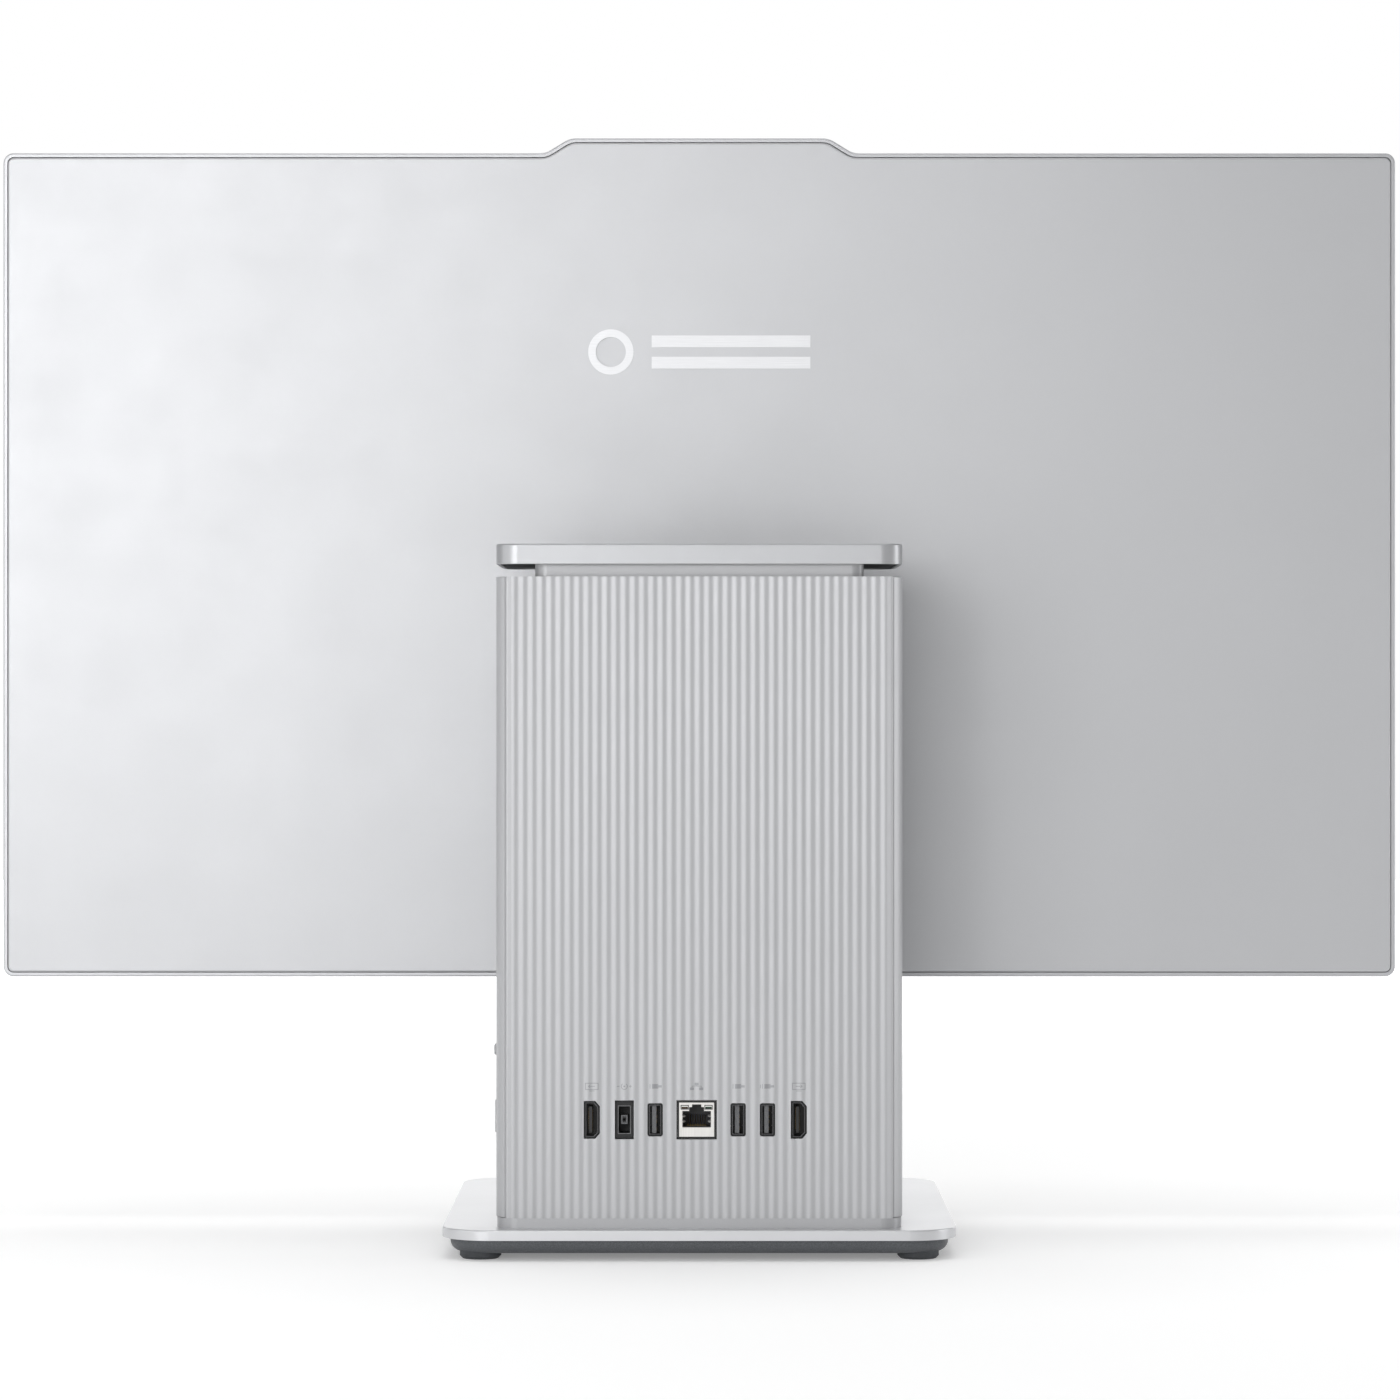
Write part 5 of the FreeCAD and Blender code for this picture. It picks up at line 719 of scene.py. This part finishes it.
def side_details():
    """Contacts in the small reversible sockets, the audio socket's ring and the rims on the hinge pins."""
    for side, hand in SIDES:
        low, high, centre = corners(f"type_c_port_{hand}")
        face = high.x if side > 0 else low.x
        contacts = bmesh.new()
        levels = sorted((face - side * 0.7 * MM, face - side * 4.5 * MM))
        for row in (-1, 1):
            for i in range(12):
                y = centre.y + (i - 5.5) * 0.5 * MM
                strip = block_outline(y, centre.z + row * 0.37 * MM, 0.26 * MM, 0.06 * MM)
                add_prism(contacts, strip, "X", *levels)
        finish_mesh(f"type_c_port_{hand}_contacts", contacts, "gold", "tower")

    low, _, centre = corners("audio_jack")
    ring = bmesh.new()
    outlines = [circle_outline(centre.y, centre.z, radius * MM) for radius in (2.75, 1.95)]
    add_sleeve(ring, *outlines, "X", low.x - 0.15 * MM, low.x + 0.3 * MM)
    finish_mesh("audio_jack_ring", ring, "port_metal", "tower", 0.1 * MM)

    low, high, centre = corners("hinge_pins")
    outlines = [circle_outline(centre.y, centre.z, radius * MM) for radius in (5.6, 2.6)]
    for side, hand in SIDES:
        x = high.x if side > 0 else low.x
        rim = bmesh.new()
        add_sleeve(rim, *outlines, "X", *sorted((x - side * 0.2 * MM, x + side * 0.35 * MM)))
        finish_mesh(f"hinge_pin_rim_{hand}", rim, "steel", "tower", 0.12 * MM)


def intake_filters():
    """A dark woven dust filter in a frame behind the intake slots on each side."""
    low, high, _ = corners("tower_shell")
    front, rear, base, height = low.y + 6 * MM, low.y + 74 * MM, low.z + 118 * MM, 44 * MM
    outline = block_outline((front + rear) / 2, base + height / 2, rear - front, height)
    for side, hand in SIDES:
        x = high.x if side > 0 else low.x
        sheet = bmesh.new()
        levels = sorted((x - side * 2.5 * MM, x - side * 2.9 * MM))
        add_prism(sheet, inset(outline, 1.2 * MM), "X", *levels)
        finish_mesh(f"intake_filter_{hand}", sheet, "filter_cloth", "tower", 0.1 * MM)
        border = bmesh.new()
        levels = sorted((x - side * 2.25 * MM, x - side * 3.2 * MM))
        add_sleeve(border, outline, inset(outline, 2.0 * MM), "X", *levels)
        finish_mesh(f"intake_frame_{hand}", border, "trim_plastic", "tower", 0.2 * MM)


def front_details():
    """The camera's cover glass and ring, its indicator, and the microphones' gauze."""
    low, _, centre = corners("camera_lens")
    trim_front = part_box("front_trim")[0][1]

    def disc(name, across, radius, back, front, finish, bevel=0.0):
        mesh = bmesh.new()
        outline = circle_outline(centre.x + across * MM, centre.z, radius * MM, 24)
        add_prism(mesh, outline, "Y", trim_front + back * MM, trim_front + front * MM)
        finish_mesh(name, mesh, finish, "display", bevel * MM)

    ring = bmesh.new()
    outlines = [circle_outline(centre.x, centre.z, radius * MM) for radius in (2.85, 2.3)]
    add_sleeve(ring, *outlines, "Y", trim_front + 0.1 * MM, trim_front + 0.6 * MM)
    finish_mesh("camera_ring", ring, "port_metal", "display", 0.1 * MM)
    dome = bmesh.new()
    radius, flattened = 1.85 * MM, 0.14
    add_ball(dome, (centre.x, low.y + 0.31 * MM, centre.z), (radius, radius * flattened, radius))
    finish_mesh("camera_glass", dome, "lens_glass", "display")
    disc("camera_indicator", -8, 0.55, -0.02, 0.3, "light_pipe", 0.05)
    for side, hand in reversed(SIDES):
        disc(f"microphone_gauze_{hand}", side * 34, 0.58, 0.5, 0.8, "port_metal")


# ---------------------------------------------------------------- camera and light


SURROUND = 0.28
FLOOR_GLOW, FAR_GLOW = 0.21, 0.9  # the floor's own light, near the object and far from it
GLOW_START, GLOW_END = 0.9, 2.2  # metres from the middle of the object
# Each light: its name, place, target, width, height and power, in metres and watts.
LIGHTS = (
    ("key", (0.9, 2.2, 0.5), (0.1, -0.04, 0.28), 0.9, 0.9, 11.5),
    ("side", (1.5, 0.7, 0.5), (0.3, -0.04, 0.3), 1.4, 1.4, 6),
    ("edge", (-1.6, 0.02, 0.4), (0.0, 0.06, 0.25), 0.4, 0.9, 5),
    ("rear", (0.4, 2.7, 0.7), (0.0, -0.04, 0.28), 0.9, 0.9, 10.5),
    ("sky", (0.0, -0.3, 3.0), (0.0, -0.3, 0.0), 2.6, 2.6, 42),
    ("backdrop", (0.0, -3.0, 1.0), (0.0, 0.0, 1.0), 7.0, 3.0, 80),
)


def make_studio():
    make_camera()
    make_world()
    make_floor()
    make_lights()
    settings = bpy.context.scene.view_settings
    settings.view_transform = "Standard"
    settings.look = "None"


def make_camera():
    """Looks straight at the rear, from a little below the middle of the object."""
    data = bpy.data.cameras.new("camera")
    data.lens = 124.95
    data.sensor_width = 36
    data.shift_x, data.shift_y = 0.0005, -0.0040
    data.clip_end = 50
    camera = bpy.data.objects.new("camera", data)
    camera.location = (0, 2.105, 0.233)
    camera.rotation_euler = (math.radians(90), 0, math.radians(180))
    bpy.context.scene.collection.objects.link(camera)
    bpy.context.scene.camera = camera


def make_world():
    """A white surround that lights the object softly and is plain white where it is seen."""
    world = bpy.data.worlds.new("studio")
    bpy.context.scene.world = world
    world.use_nodes = True
    nodes, links = world.node_tree.nodes, world.node_tree.links
    light = nodes["Background"]
    light.inputs["Color"].default_value = (1.0, 1.0, 1.0, 1.0)
    light.inputs["Strength"].default_value = SURROUND
    seen = nodes.new("ShaderNodeBackground")
    seen.inputs["Color"].default_value = (1.0, 1.0, 1.0, 1.0)
    seen.inputs["Strength"].default_value = 1.0
    path = nodes.new("ShaderNodeLightPath")
    choose = nodes.new("ShaderNodeMixShader")
    links.new(path.outputs["Is Camera Ray"], choose.inputs["Fac"])
    links.new(light.outputs["Background"], choose.inputs[1])
    links.new(seen.outputs["Background"], choose.inputs[2])
    links.new(choose.outputs["Shader"], nodes["World Output"].inputs["Surface"])


def make_floor():
    """A wide white floor that glows, so that it fades into the surround."""
    mesh = bmesh.new()
    bmesh.ops.create_grid(mesh, x_segments=1, y_segments=1, size=4)
    data = bpy.data.meshes.new("floor")
    mesh.to_mesh(data)
    mesh.free()
    floor = bpy.data.objects.new("floor", data)
    bpy.context.scene.collection.objects.link(floor)
    s = Shader("floor")
    pale = s.mix(s.noise(3, 3), (0.90, 0.90, 0.90), (0.92, 0.92, 0.92))
    away = s.add("ShaderNodeVectorMath", {0: s.place}, operation="LENGTH").outputs["Value"]
    glow = s.span(away, GLOW_START, GLOW_END, FLOOR_GLOW, FAR_GLOW)
    s.set(color=pale, roughness=0.8, specular=0.1, emission=(1.0, 1.0, 1.0), emission_strength=glow)
    data.materials.append(s.material)


def make_lights():
    for name, at, target, width, height, power in LIGHTS:
        data = bpy.data.lights.new(name, "AREA")
        data.shape = "RECTANGLE"
        data.size, data.size_y = width, height
        data.energy = power
        light = bpy.data.objects.new(name, data)
        light.location = at
        light.rotation_euler = (Vector(target) - Vector(at)).to_track_quat("-Z", "Y").to_euler()
        bpy.context.scene.collection.objects.link(light)


# ---------------------------------------------------------------- the model

FINISH = make_finishes()


def paint_frame():
    """Every CAD node takes the finish of its slot in the record."""
    slots = {part["node"]: part["material_slot"] for part in frame["record"]["subparts"]}
    for name, node in frame["nodes"].items():
        node.data.materials.clear()
        node.data.materials.append(FINISH[slots[name]].material)


paint_frame()
usb_details()
video_details()
inlet_details()
network_details()
side_details()
intake_filters()
front_details()
make_studio()
